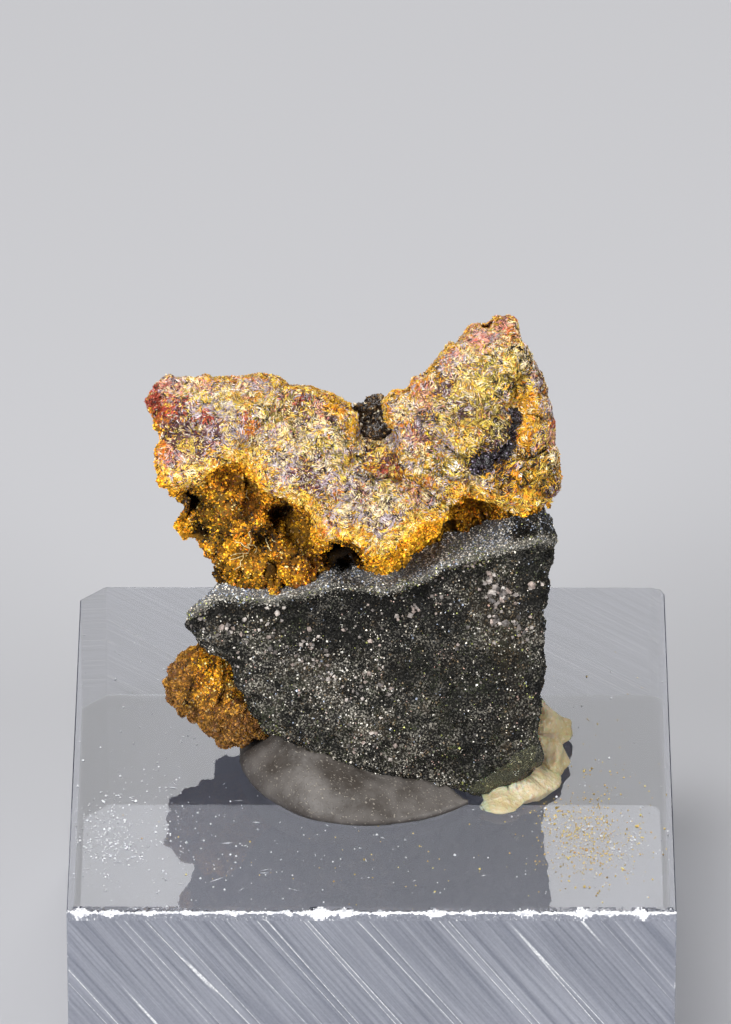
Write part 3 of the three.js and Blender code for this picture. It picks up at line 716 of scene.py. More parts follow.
nodule = rough_body("tsumcorite_nodule", "nodule_body", 0.11, 2, 0.7, 0.34)
points, normals = mesh_arrays(nodule.data)
spots = on_face(points)[:, :2]
# A mask of the creases, for the painted shade in them
nodule_crease_shade = np.zeros(len(points))
for deep, width, line in NODULE_CREASES:
    near = np.exp(-((line_distance(spots, line) / width) ** 2)) * soft_step(normals @ FACE_OUT, 0, 0.4)
    points -= normals * (deep * MM * near)[:, None]
    nodule_crease_shade = np.maximum(nodule_crease_shade, near)
set_points(nodule.data, points)

druse = rough_body("dark_druse", "druse_body", 0.07, 2, 0.6, 0.4)
seam = rough_body("dark_vein", "seam_body", 0.06, 2, 0.6, 0.45)
for piece, sunk in ((druse, 0.25), (seam, 0.22)):
    points, _ = mesh_arrays(piece.data)
    set_points(piece.data, points - FACE_OUT * sunk * MM)
close_gap(crust, rock, 1.8, 0.08, 5.2)
for piece, neighbour in ((crust, rock), (nodule, rock), (druse, crust), (crust, seam)):
    close_gap(piece, neighbour, 0.75, 0.08)


# %% Finishes of the crystals and their bodies
SPECK = 0.1


def crystal_finish(name, roughness, shine, grain, relief=0.02):
    """Tinted crystal: each one has its own colour, and grain mottles it."""
    finish = Finish(name, Specular_IOR_Level=shine)
    mottle = finish.noise(grain, 3.0)
    tint = finish.painted("tint")
    steep = mottle.above(0.5, 0.22)
    grey = finish.node("ShaderNodeCombineColor", {}, {0: steep, 1: steep, 2: steep})
    shade = finish.mix(0.6, tint, grey, "OVERLAY")
    finish.feed(Base_Color=shade, Roughness=mottle * 0.3 + (roughness - 0.15))
    finish.bump(finish.noise(0.35 * grain, 2.0), relief)
    return finish


felt_finish = crystal_finish("felted_crystals", 0.45, 0.3, 0.3)
drusy_finish = crystal_finish("drusy_crystals", 0.4, 0.35, 0.25)
body_finish = crystal_finish("crust_ground", 0.75, 0.2, 0.25, 0.1)
sand_finish = crystal_finish("sand_grains", 0.38, 0.35, 0.2)
dark_finish = crystal_finish("dark_crystal", 0.28, 0.7, 0.12)

ground_finish = Finish("sandy_ground", Roughness=0.8, Specular_IOR_Level=0.2)
speck = ground_finish.noise(SPECK, 1.0).above(0.575, 0.035) * ground_finish.painted("pale", "Fac")
tone = ground_finish.mix(speck, ground_finish.painted("tint"), opaque(paint(152, 147, 136)))
ground_finish.feed(Base_Color=tone)
ground_finish.bump(ground_finish.noise(0.13, 2.0), 0.07)

# %% Tints of the crust's body
# How bright the ground under the crystals is, on the felt and on the walls: darker than the crystals, as
# painted shade between them
GROUND = 0.42
WALL_GROUND = 0.6

points, normals = mesh_arrays(crust.data)
share = plate_share(points, normals)
# Painted shade in hollows of the relief, a little painted light on its high parts, and strong painted shade
# in the pits and cracks
relief_shade = np.clip(0.85 + 1.2 * crust_relief, 0.3, 1.15)
tints = mean_tint(FELT, felt_weights(points)) * (GROUND * share)[:, None]
tints += mean_tint(DRUSY, drusy_weights(points)) * (WALL_GROUND * (1 - share))[:, None]
tints *= (relief_shade * (1 - 0.8 * crack_shade))[:, None]
paint_tints(crust.data, tints)
settle(crust, "yellow_crust", body_finish, "tsumcorite_crust")

# %% [markdown]
# The felt itself: thousands of small needles, each no wider than a hair. Their directions
# follow a slow swirl, so neighbours lie nearly side by side in tufts, as they grew.

# %% Crust: needles of the felted plate
NEEDLES = 38000
TUFT = 0.27
dice = np.random.default_rng(11)


def felt(name, left, right, dice):
    """Needles of the felt between two places across the face."""
    across = points[:, 0] / MM
    chance = share**2 * (across > left) * (across < right) + 1e-9
    spots, facing, carry = sow(crust.data, NEEDLES, chance, dice)
    middles, within, lots = tufts(spots, TUFT, 17.0)
    turn = 8 * lumps(middles, 1.5, 70) + 2.5 * lots + dice.normal(0, 0.3, NEEDLES)
    axis = np.cos(turn)[:, None] * ACROSS_FACE + np.sin(turn)[:, None] * UP_FACE
    axis -= facing * (axis * facing).sum(1)[:, None]
    axis /= np.linalg.norm(axis, axis=1)[:, None]
    axis += facing * dice.uniform(0.0, 0.5, NEEDLES)[:, None]
    long = np.clip(0.9 + 1.2 * lumps(spots, 1.0, 90), 0.5, 1.5)
    lengths = dice.uniform(0.12, 0.28, NEEDLES) * long
    widths = dice.uniform(0.042, 0.072, NEEDLES)
    frames = frames_along(axis, facing + dice.normal(0, 0.4, (NEEDLES, 3)), lengths, widths, widths)
    tints = pick_tints(list(FELT.values()), felt_weights(spots), dice, 0.16, lots, 0.4)
    # Painted shade on needles in cracks and hollows, a little painted light on raised felt, and painted
    # shade on needles at the edges of tufts, between them
    shade = (1 - 0.75 * carry(crack_shade)) * np.clip(0.95 + 0.9 * carry(crust_relief), 0.5, 1.15)
    tints *= shade[:, None]
    tints *= np.clip(0.62 + 2.3 * within, 0.62, 1.14)[:, None]
    lift = facing * dice.uniform(0.0, 0.05, (NEEDLES, 1)) * MM
    piece = crowd(name, lath(), spots + lift, frames, tints)
    settle(piece, "yellow_crust", felt_finish)


felt("felt_left", -12, -4, dice)
felt("felt_middle", -4, 3, dice)
felt("felt_right", 3, 12, dice)

# %% Crust: points of the drusy walls
POINTS = 27000
front = soft_step(normals @ FACE_OUT, -0.1, 0.4)
chance = (1 - share) * (0.2 + front)
spots, facing, carry = sow(crust.data, POINTS, chance, dice)
axis = facing + dice.normal(0, 0.45, (POINTS, 3))
hint = dice.normal(0, 1, (POINTS, 3))
widths = dice.uniform(0.08, 0.17, POINTS)
lengths = widths * dice.uniform(1.0, 1.4, POINTS)
frames = frames_along(axis, hint, lengths, widths, widths)
tints = pick_tints(list(DRUSY.values()), drusy_weights(spots), dice, 0.2)
# Painted light on crystals on the knobs, painted shade on those in hollows, cracks and pits
tints *= (np.clip(1.15 + 1.8 * carry(crust_relief), 0.35, 1.35) * (1 - 0.85 * carry(crack_shade)))[:, None]
walls = crowd("wall_crystals", pointed(3), spots, frames, tints)
settle(walls, "yellow_crust", drusy_finish)

# %% Crust: pale fibres that branch over the lower wall
FIBRES = [
    [(-6.05, 10.9), (-6.1, 10.3), (-6.15, 9.8), (-6.6, 9.5), (-7.2, 9.3)],
    [(-6.15, 9.8), (-6.7, 9.7), (-7.3, 9.55)], [(-6.1, 10.3), (-5.8, 10.0), (-5.75, 9.6)],
    [(-5.3, 10.4), (-5.1, 10.0), (-4.9, 9.75)], [(-6.2, 9.9), (-6.5, 10.2), (-6.9, 10.3)],
    [(-6.4, 9.6), (-6.6, 9.1), (-7.0, 8.9)], [(-4.9, 10.5), (-4.7, 10.1)], [(-6.3, 12.8), (-6.0, 12.3)],
]
FIBRE_WIDTH = 0.06


def ray_onto(tree, u, v):
    """The spot and normal where a line straight into the broad face meets a surface."""
    start = Vector((u, 0, BLOCK_TOP / MM)) + Vector(UP_FACE) * v + Vector(FACE_OUT) * 30
    spot, normal, _, _ = tree.ray_cast(start * MM, Vector(-FACE_OUT))
    return spot, normal


crust_tree = surface_tree(crust)
middles = []
axes = []
for line in FIBRES:
    knots = []
    for (au, av), (bu, bv) in zip(line, line[1:]):
        for step in np.linspace(0, 1, 4)[:-1]:
            sway = dice.normal(0, 0.03, 2)
            u = au + (bu - au) * step + sway[0]
            v = av + (bv - av) * step + sway[1]
            spot, normal = ray_onto(crust_tree, u, v)
            if spot:
                knots.append(np.array(spot + normal * 0.08 * MM))
    for first, second in zip(knots, knots[1:]):
        middles.append((first + second) / 2)
        axes.append(second - first)
middles = np.array(middles)
axes = np.array(axes)
count = len(middles)
lengths = np.linalg.norm(axes, axis=1) / MM * 1.5
widths = np.full(count, FIBRE_WIDTH)
frames = frames_along(axes, dice.normal(0, 1, (count, 3)), lengths, widths, widths)
tints = np.tile(paint(232, 214, 160), (count, 1)) * dice.uniform(0.7, 1.1, (count, 1))
settle(crowd("pale_fibres", pointed(4), middles, frames, tints), "yellow_crust", felt_finish)

# %% Nodule: its body and drusy skin
NODULE_DULL = np.array(paint(122, 84, 52))
KNOBS = 14000


def nodule_tints(points, tints):
    """The lump's lower half is duller and browner than its golden top."""
    face = on_face(points)
    low = soft_step(-face[:, 1], -3.6, -1.2)[:, None]
    left = soft_step(-face[:, 0], 8.2, 9.6)[:, None]
    dull = np.maximum(0.75 * low, 0.7 * left)
    return tints * (1 - dull) + NODULE_DULL * dull


points, normals = mesh_arrays(nodule.data)
tints = nodule_tints(points, mean_tint(DRUSY, drusy_weights(points)))
# The nodule's ground is painted darker than its crystals, and darker still in the creases: painted shade
paint_tints(nodule.data, tints * (GROUND * (1 - 0.8 * nodule_crease_shade))[:, None])
settle(nodule, "ochre_nodule", body_finish, "tsumcorite_nodule")
spots, facing, carry = sow(nodule.data, KNOBS, np.ones(len(points)), dice)
widths = dice.uniform(0.06, 0.15, KNOBS)
axis = facing + dice.normal(0, 0.4, (KNOBS, 3))
frames = frames_along(axis, dice.normal(0, 1, (KNOBS, 3)), 1.6 * widths, widths, widths)
tints = nodule_tints(spots, pick_tints(list(DRUSY.values()), drusy_weights(spots), dice, 0.3))
# Painted shade on crystals in the creases
tints *= (1 - 0.85 * carry(nodule_crease_shade))[:, None]
settle(crowd("nodule_crystals", pointed(3), spots, frames, tints), "ochre_nodule", drusy_finish)

# %% [markdown]
# The rock is dark sand bound by clear grains. Its body is nearly black, and grains of several
# sizes and colours are sown on it: sugary white at the left, pale clumps at the right, bluish
# and greenish ones along the ledge. A painted mask says where its finish draws finer specks
# between the grains.

# %% Rock: colours
SAND = {
    "black": paint(14, 14, 12), "green": paint(58, 62, 44), "grey": paint(120, 115, 104),
    "white": paint(212, 206, 194), "pink": paint(190, 160, 148), "lime": paint(158, 162, 92),
    "brown": paint(92, 78, 58), "blue": paint(156, 164, 180),
}
SAND_SHARE = {
    "black": 0.47, "green": 0.17, "grey": 0.15, "white": 0.06, "pink": 0.012, "lime": 0.01,
    "brown": 0.1, "blue": 0.01,
}

# Colour, u, v, radius and strength of each zone of the sand. The strong black zone on the deep pit at u
# -1.4 is painted shade in the pit.
SAND_ZONES = [
    ("white", -0.5, 2.6, 1.6, 0.28), ("white", -1.5, 4.5, 1.3, 0.2), ("white", -4.0, 3.0, 1.5, 0.22),
    ("grey", -6.5, 5.2, 1.2, 0.3), ("white", -5.8, 5.4, 1.0, 0.16), ("white", 1.6, -0.4, 1.2, 0.1),
    ("pink", 3.7, 4.5, 0.5, 0.2), ("lime", 5.6, 5.2, 1.4, 0.05), ("white", 6.2, 5.8, 1.0, 0.1),
    ("brown", 6.2, 7.5, 1.4, 0.7), ("black", 6.6, 7.0, 1.3, 0.5), ("black", -1.4, 9.45, 0.8, 60.0),
    ("black", 7.9, 7.6, 0.9, 1.0), ("black", 7.6, 9.2, 0.8, 0.8), ("black", 5.3, 2.6, 1.6, 1.4),
    ("black", 4.6, 0.0, 1.8, 0.8), ("black", 3.4, 5.9, 1.6, 0.7), ("lime", 4.0, 10.0, 0.35, 2.5),
    ("lime", 1.6, 8.3, 0.25, 3.0), ("lime", 5.2, 9.9, 0.4, 1.5), ("black", 2.0, 6.2, 1.4, 2.0),
    ("black", -4.0, 6.2, 1.0, 1.2), ("black", -1.5, 6.4, 1.4, 2.0), ("brown", -3.3, 3.4, 1.0, 0.25),
    ("green", 5.0, -1.6, 1.2, 0.6), ("lime", 4.6, -1.9, 0.8, 0.15), ("pink", 3.0, -0.4, 1.5, 0.06),
    ("pink", 3.4, 4.6, 0.4, 0.3), ("brown", 6.6, 4.6, 1.3, 0.4), ("lime", 6.4, 5.0, 0.9, 0.06),
    ("lime", 5.2, 9.4, 0.5, 0.7), ("lime", 6.6, 9.0, 0.5, 0.3), ("green", 6.6, -1.4, 0.9, 1.5),
]


def sand_weights(points):
    weights = zoned(points, SAND_SHARE, SAND_ZONES, 1.5, 0.4)
    names = list(SAND)
    face = on_face(points)
    lip = np.interp(face[:, 0], *np.array(LEDGE_LIP).T)
    above = face[:, 1] - lip
    ahead = soft_step(face[:, 2], 2.5, 4.0)
    on_lip = ahead * np.exp(-((above / 0.22) ** 2))
    # Black under the lip is a painted shadow of the ledge; black in the hollow at the right of the ledge
    # top is painted shade, and the blue there is its own colour
    shadow_under_lip = np.exp(-(((above + 0.6) / 0.35) ** 2))
    # The ledge top faces up; its pale grains are partly its own colour and partly painted light
    on_top = ahead * soft_step(above, 0.0, 0.3) * (1 - soft_step(face[:, 0], 6.3, 7.2))
    shaded_hollow = ahead * soft_step(above, 0.3, 0.6) * soft_step(face[:, 0], 6.3, 7.2)
    low = soft_step(-face[:, 1], -4.5, 0.5)
    for name, extra in (
        ("white", 0.04 * low + 3.0 * on_lip + 5.0 * on_top),
        ("grey", 0.08 * low + 2.0 * on_lip + 1.6 * on_top),
        ("lime", 0.6 * on_lip + 0.2 * on_top),
        ("blue", 0.7 * on_lip + 3.6 * on_top + 0.5 * shaded_hollow),
        ("black", 0.6 * shaded_hollow + 1.5 * shadow_under_lip),
    ):
        weights[:, names.index(name)] += extra
    for name in ("black", "green", "brown"):
        weights[:, names.index(name)] *= 1 - 0.95 * np.maximum(on_top, 0.8 * on_lip)
    return weights


# %% Rock: grains
GRAINS = 33000
SAND_GROUND = 0.36

# How much of each colour of the sand counts in the ground between the grains
IN_GROUND = [3, 1, 0.4, 0.12, 0.3, 0.5, 1, 0.8]

points, normals = mesh_arrays(rock.data)
weights = sand_weights(points)
paint_tints(rock.data, mean_tint(SAND, weights * IN_GROUND) * SAND_GROUND)
pale = [name not in ("black", "green", "brown") for name in SAND]
paint_mask(rock.data, "pale", np.clip(1.2 * weights[:, pale].sum(1) / weights.sum(1), 0, 1))
settle(rock, "dark_rock", ground_finish, "matrix_rock")
front = soft_step(normals @ FACE_OUT, -0.1, 0.4)
spots, facing, carry = sow(rock.data, GRAINS, 0.3 + front, dice)
widths = np.exp(dice.normal(np.log(0.09), 0.28, GRAINS)).clip(0.055, 0.18)
tilt = facing + dice.normal(0, 0.8, (GRAINS, 3))
hint = dice.normal(0, 1, (GRAINS, 3))
frames = frames_along(tilt, hint, widths, widths * dice.uniform(0.7, 1.3, GRAINS), widths)
tints = pick_tints(list(SAND.values()), sand_weights(spots), dice, 0.35)
# Painted light on grains on raised rock, painted shade on those in its hollows
tints *= np.clip(0.95 + 1.4 * carry(rock_relief), 0.5, 1.2)[:, None]
settle(crowd("sand_grains", pointed(3), spots, frames, tints), "dark_rock", sand_finish)

# %% Rock: larger pale crystals in clumps
BIG_GRAIN = 0.25
SMALL_GRAIN = 0.18
TIGHT_CLUMP = 0.4

# u, v, radius and count of each clump
CLUMPS = [
    (5.9, 8.5, 0.35, 9), (6.2, 7.9, 0.35, 14), (6.1, 7.2, 0.35, 10), (6.8, 7.5, 0.35, 9),
    (6.0, 6.5, 0.35, 9), (6.9, 6.1, 0.39, 8), (8.0, 8.2, 0.2, 4), (-7.4, 6.0, 0.35, 5),
    (-3.2, 5.2, 0.35, 5), (2.2, 7.0, 0.35, 5),
    (4.9, 9.3, 0.5, 12), (3.4, 9.2, 0.6, 8), (-2.6, 5.4, 0.5, 6), (-5.6, 6.4, 0.6, 6), (1.9, 7.0, 0.7, 8),
    (0.0, 4.4, 0.8, 6), (-3.4, 3.6, 0.7, 6), (4.4, 5.4, 0.9, 6), (-6.6, 4.6, 0.6, 6), (-8.4, 6.3, 0.5, 6),
    (-1.0, 5.5, 0.6, 5), (7.2, 5.8, 0.5, 10), (4.8, 1.2, 1.0, 6), (-0.6, 1.2, 0.9, 10), (0.5, 0.2, 0.7, 8),
    (3.4, 7.4, 0.6, 8), (0.3, 7.0, 0.6, 5), (-4.4, 6.6, 0.6, 6), (-3.6, 4.4, 0.8, 14), (-2.2, 3.6, 0.9, 14),
    (-4.9, 5.2, 0.6, 10), (-1.2, 2.6, 0.9, 12), (-6.8, 5.6, 0.6, 8), (0.2, 3.4, 0.8, 10),
]


def clumped(tree, clumps, spread, dice):
    """Spots, normals and clump radii where scattered clumps meet a surface."""
    met = []
    for u, v, radius, count in clumps:
        for du, dv in dice.normal(0, spread * radius, (count, 2)):
            spot, normal = ray_onto(tree, u + du, v + dv)
            if spot:
                met.append((spot, normal, radius))
    return [np.array(part) for part in zip(*met)]


spots, _, radii = clumped(surface_tree(rock), CLUMPS, 0.75, dice)
sizes = np.where(radii < TIGHT_CLUMP, BIG_GRAIN, SMALL_GRAIN)
count = len(spots)
widths = np.exp(dice.normal(np.log(sizes), 0.25)).clip(0.13, 0.42)
axis = dice.normal(0, 1, (count, 3))
long, wide = dice.uniform(0.9, 1.4, (2, count))
frames = frames_along(axis, dice.normal(0, 1, (count, 3)), widths * long, widths * wide, widths)
greys = [paint(204, 194, 186), paint(172, 156, 147), paint(138, 130, 125), paint(102, 97, 94)]
tints = np.array(greys)[dice.integers(0, 4, count)] * dice.uniform(0.6, 1, (count, 1))
settle(crowd("pale_grains", pointed(5), spots, frames, tints), "dark_rock", sand_finish)


# %% Dark crystals of the notch and the seam
def dark_crystals(piece, spots, facing, slot, size, palette, dice):
    """Small shiny crystals over a dark body."""
    count = len(spots)
    widths = dice.uniform(0.6, 1.3, count) * size
    axis = facing + dice.normal(0, 0.5, (count, 3))
    frames = frames_along(axis, dice.normal(0, 1, (count, 3)), 1.5 * widths, widths, widths)
    tints = pick_tints(palette, np.tile([0.5, 0.25, 0.15, 0.10], (count, 1)), dice, 0.3)
    settle(crowd(piece, pointed(4), spots, frames, tints), slot, dark_finish)


DRUSE_CRYSTALS = 1800
SEAM_CRYSTALS = 1100

for body, slot, node, dull in (
    (druse, "dark_crystals", "dark_druse", paint(44, 32, 22)),
    (seam, "dark_seam", "dark_vein", paint(22, 16, 20)),
):
    paint_tints(body.data, np.tile(dull, (len(body.data.vertices), 1)))
    settle(body, slot, dark_finish, node)
spots, facing, _ = sow(druse.data, DRUSE_CRYSTALS, np.ones(len(druse.data.vertices)), dice)
brown = [paint(40, 28, 20), paint(86, 64, 40), paint(134, 104, 64), paint(206, 190, 160)]
dark_crystals("druse_crystals", spots, facing, "dark_crystals", 0.15, brown, dice)
spots, facing, _ = sow(seam.data, SEAM_CRYSTALS, np.ones(len(seam.data.vertices)), dice)
black = [paint(20, 14, 18), paint(38, 28, 36), paint(66, 52, 66), paint(150, 140, 160)]
dark_crystals("seam_crystals", spots, facing, "dark_seam", 0.11, black, dice)

# %% Dark crystals that stray from the seam over the felt beside it
STRAYS = [
    (6.95, 16.5, 0.16, 160), (6.9, 15.9, 0.16, 340), (6.75, 15.3, 0.24, 380), (6.3, 14.5, 0.36, 420),
    (5.7, 13.9, 0.32, 360), (6.9, 17.6, 0.25, 60), (4.9, 14.3, 0.35, 100),
]
spots, facing, _ = clumped(crust_tree, STRAYS, 1, dice)
dark_crystals("stray_crystals", spots, facing, "dark_seam", 0.1, black, dice)

# %% Putty: smooth grey pad
PUTTY_STRETCH = 0.22

putty = fine_copy("grey_putty", "putty_pad", 0.16, 12)
close_gap(putty, rock, 0.9, 0.1)
points, normals = mesh_arrays(putty.data)
points += normals * (0.12 * MM + 0.07 * MM * lumps(points, 2.2, 1.0))[:, None]
points[:, 0] += PUTTY_STRETCH * np.maximum(points[:, 0] - MM, 0)
points[:, 2] = np.maximum(points[:, 2], BLOCK_TOP)
set_points(putty.data, points)
# The putty's foot, where it meets the block, is painted near white: a painted highlight along the contact
high = (points[:, 2] - BLOCK_TOP) / MM
paint_mask(putty.data, "foot", soft_step(-high, -0.16, -0.04))
putty_finish = Finish("mounting_putty", Specular_IOR_Level=0.45)
dents = putty_finish.noise(1.6, 4.0)
dust = putty_finish.noise(0.12, 2.0).above(0.64, 0.02)
tone = putty_finish.mix(dents.above(0.5, 0.14), opaque(paint(66, 60, 55)), opaque(paint(104, 99, 95)))
tone = putty_finish.mix(dust * 0.6, tone, opaque(paint(166, 158, 146)))
# Painted highlight at the foot
tone = putty_finish.mix(putty_finish.painted("foot", "Fac"), tone, opaque(paint(226, 222, 214)))
putty_finish.feed(Base_Color=tone, Roughness=dents * 0.25 + 0.36)
putty_finish.bump(dents * 0.6 + putty_finish.noise(0.25, 3.0) * 0.2 + dust * 0.2, 0.14)
settle(putty, "grey_putty", putty_finish, "grey_putty")

# %% Glue: dried, cloudy dab
glue = fine_copy("glue_dab", "glue_blob", 0.09, 7)
close_gap(glue, rock, 0.9, 0.12)
points, normals = mesh_arrays(glue.data)
high = (points[:, 2] - BLOCK_TOP) / MM
spread = 0.5 * np.exp(-((high / 0.5) ** 2)) * (1 + lumps(points, 0.8, 6.0))
relief = 0.04 + 0.22 * lumps(points, 1.2, 1.0) + 0.07 * lumps(points, 0.4, 2.0)
points += normals * (relief * MM)[:, None] + normals * [1, 1, 0] * (spread * MM)[:, None]
points[:, 2] = np.maximum(points[:, 2], BLOCK_TOP)
set_points(glue.data, points)
paint_mask(glue.data, "foot", soft_step(-high, -0.5, 0.0))
glue_finish = Finish(
    "dried_glue", Transmission_Weight=0.35, IOR=1.45, Subsurface_Weight=0.5, Subsurface_Scale=0.6 * MM
)
cloud = glue_finish.noise(1.1, 4.0)
crumbs = glue_finish.noise(0.2, 3.0)
tone = glue_finish.mix(cloud.above(0.5, 0.12), opaque(paint(220, 200, 148)), opaque(paint(238, 220, 180)))
tone = glue_finish.mix(glue_finish.painted("foot", "Fac") * 0.8, tone, opaque(paint(240, 232, 206)))
tone = glue_finish.mix(crumbs.above(0.6, 0.06) * 0.5, tone, opaque(paint(250, 246, 230)))
glue_finish.feed(Base_Color=tone, Roughness=cloud * 0.3 + 0.22)
glue_finish.bump(crumbs, 0.1)
settle(glue, "dried_glue", glue_finish, "glue_dab")

# %% Glue: the film over the rock's lower corner
FILM_LINE = [(5.0, -2.5), (6.2, -1.9), (7.2, -1.2), (8.0, -0.3)]
FILM_WIDTH = 0.65
FILM_LIFT = 0.12
FILM_THICK = 0.06

film = placed("glue_film", rock.data.copy())
form = bmesh.new()
form.from_mesh(film.data)
points, normals = mesh_arrays(film.data)
away = line_distance(on_face(points)[:, :2], FILM_LINE) + 0.35 * lumps(points, 0.9, 8.0)
bare = (away > FILM_WIDTH) | (normals @ FACE_OUT < -0.2)
form.verts.ensure_lookup_table()
bmesh.ops.delete(form, geom=[form.verts[i] for i in np.flatnonzero(bare)], context="VERTS")
smooth(form, 4)
bmesh.ops.translate(form, verts=form.verts, vec=Vector(FACE_OUT) * FILM_LIFT * MM)
bmesh.ops.solidify(form, geom=form.faces[:], thickness=FILM_THICK * MM)
bmesh.ops.recalc_face_normals(form, faces=form.faces)
for vert in form.verts:
    vert.co.z = max(vert.co.z, BLOCK_TOP)
form.to_mesh(film.data)
form.free()
film.data.shade_smooth()
film_finish = Finish("glue_film", Transmission_Weight=0.96, IOR=1.3)
film_finish.shader.inputs["Base Color"].default_value = opaque(paint(222, 222, 196))
film_finish.feed(Roughness=film_finish.noise(0.6, 3.0) * 0.2)
settle(film, "dried_glue", film_finish)
print("glue_film has", len(film.data.polygons), "faces")

# %% [markdown]
# The block is sawn clear acrylic. Its top and underside are polished, its sides are frosted by
# the saw, and its front top edge is chipped into a bright white line. The frosted sides scatter
# light both ways, so they get a share of translucent grey over rough, half clear plastic.

# %% Block: its form
low, high = (Vector(corner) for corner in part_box("acrylic_block"))
BROKEN_CORNER = 1.28
ROUND_CORNER = 0.68
EDGE = 0.06
BANDS = (0.07, 0.13, 0.19, 0.26, 0.36)
STRIP = 0.5
CHIP_STEPS = 420

# x, half length and width of the larger chips along the front top edge
CHIPS = [
    (-14.3, 0.3, 0.3), (-12.9, 0.5, 0.16), (-10.9, 0.3, 0.14), (-8.9, 0.4, 0.1), (-6.9, 0.3, 0.12),
    (-4.1, 0.3, 0.1), (-2.6, 0.5, 0.36), (-1.4, 0.4, 0.3), (0.5, 0.3, 0.14), (3.1, 0.4, 0.2),
    (4.8, 0.3, 0.1), (7.6, 0.4, 0.2), (10.3, 0.4, 0.3), (11.6, 0.3, 0.12), (13.3, 0.4, 0.26),
]

outline = [
    (low.x, low.y), (high.x, low.y), (high.x, high.y - ROUND_CORNER * MM),
    (high.x - 0.3 * ROUND_CORNER * MM, high.y - 0.3 * ROUND_CORNER * MM),
    (high.x - ROUND_CORNER * MM, high.y), (low.x + BROKEN_CORNER * MM, high.y),
    (low.x, high.y - BROKEN_CORNER * MM),
]
form = bmesh.new()
base = form.faces.new([form.verts.new((x, y, low.z)) for x, y in outline])
pushed = bmesh.ops.extrude_face_region(form, geom=[base])["geom"]
raised = [g for g in pushed if isinstance(g, bmesh.types.BMVert)]
bmesh.ops.translate(form, vec=(0, 0, high.z - low.z), verts=raised)
bmesh.ops.recalc_face_normals(form, faces=form.faces)
bmesh.ops.bevel(
    form, geom=form.edges[:], offset=EDGE * MM, affect="EDGES", segments=2, profile=0.5, material=-1
)
for reach in (*BANDS, STRIP):
    cuts = (((0, low.y + reach * MM, 0), (0, 1, 0)), ((0, 0, high.z - reach * MM), (0, 0, 1)))
    for place, normal in cuts:
        everything = form.verts[:] + form.edges[:] + form.faces[:]
        bmesh.ops.bisect_plane(form, geom=everything, plane_co=place, plane_no=normal)


def in_strip(point, room=0.01):
    return point.y < low.y + (STRIP + room) * MM and point.z > high.z - (STRIP + room) * MM


def chip_width(x, seed):
    """How far the white, chipped band reaches from the edge at x, in millimetres."""
    widths = [wide * math.exp(-(((x / MM - place) / half) ** 2)) for place, half, wide in CHIPS]
    sway = noise.noise(Vector((x, seed * MM, 0)) / (0.3 * MM))
    sway += noise.noise(Vector((x, seed * MM, MM)) / (0.12 * MM))
    return 0.1 + 0.08 * sway + max(widths) * (1 + 0.5 * sway)


across = [e for e in form.edges if all(in_strip(v.co) for v in e.verts) and e.calc_length() > 25 * MM]
bmesh.ops.subdivide_edges(form, edges=across, cuts=CHIP_STEPS, use_grid_fill=True)
for vert in form.verts:
    x, y, z = vert.co
    if in_strip(vert.co, -0.02) and abs(x) < high.x - 0.2 * MM:
        chip = 0.3 * chip_width(x, 1) + 0.04 * noise.noise(vert.co / (0.15 * MM))
        outer = max((y - low.y) / MM, (high.z - z) / MM)
        vert.co += Vector((0, 0.7, -0.7)) * max(chip, 0) * max(0, 1 - outer / STRIP) * MM

POLISHED = 0
SAWN = 1
CHIPPED = 2
kinds = []
for face in form.faces:
    middle = face.calc_center_median()
    outer = max((middle.y - low.y) / MM, (high.z - middle.z) / MM)
    above_edge = middle.y - low.y > high.z - middle.z
    if in_strip(middle) and outer < chip_width(middle.x, 5 if above_edge else 9):
        kinds.append(CHIPPED)
    else:
        kinds.append(SAWN if abs(face.normal.z) < 0.5 else POLISHED)
mesh = bpy.data.meshes.new("acrylic")
form.to_mesh(mesh)
form.free()
block = placed("acrylic", mesh)
print("acrylic has", len(mesh.polygons), "faces, chipped", kinds.count(CHIPPED))

# %% Block: polished, sawn and chipped finishes
SAW_TURN = 37

# How far apart the patterns of the two side faces lie in the noise, so that they differ
APART = 5

polished = Finish("polished_acrylic", Transmission_Weight=1.0, IOR=1.49, Roughness=0.0)
# The clear block's grey-blue tint is painted shade: it darkens all that is seen through it
polished.shader.inputs["Base Color"].default_value = (0.52, 0.53, 0.58, 1)

sawn = Finish("sawn_acrylic", Transmission_Weight=0.3, IOR=1.49, Roughness=0.4)
along = sawn.painted("along_side", "Vector")
turn = {"Vector": along, "Rotation": (0, math.radians(SAW_TURN), 0)}
turned = sawn.node("ShaderNodeMapping", {}, turn)
stretched = sawn.node("ShaderNodeMapping", {}, {"Vector": turned, "Scale": (1, 1, 0.02)})
strokes = sawn.noise(0.17, 8.0, stretched)
drawn_out = sawn.node("ShaderNodeMapping", {}, {"Vector": turned, "Scale": (1, 1, 0.01)})
scored = sawn.noise(0.8, 0.0, drawn_out)
dotted = sawn.noise(0.14, 2.0).above(0.5, 0.12)
hairline = (1 - ((scored - 0.6) ** 2 * 9000).above(0.5, 0.4)) * (dotted * 0.5 + 0.5)
haze = sawn.noise(5.0, 2.0)
scratched = strokes.above(0.5, 0.2) * 0.85 + dotted * 0.15
tone = sawn.mix(scratched, opaque((0.27, 0.29, 0.35)), opaque((0.6, 0.62, 0.69)))
sawn.feed(Base_Color=sawn.mix(hairline, tone, opaque((1.0, 1.0, 1.0))))
sawn.bump(strokes, 0.05)
glow = sawn.node("ShaderNodeBsdfTranslucent", {}, {"Color": opaque((0.42, 0.43, 0.5))})
factor = (1 - hairline) * (haze * 0.2 + 0.3)
plastic = Wire(sawn, sawn.shader.outputs[0])
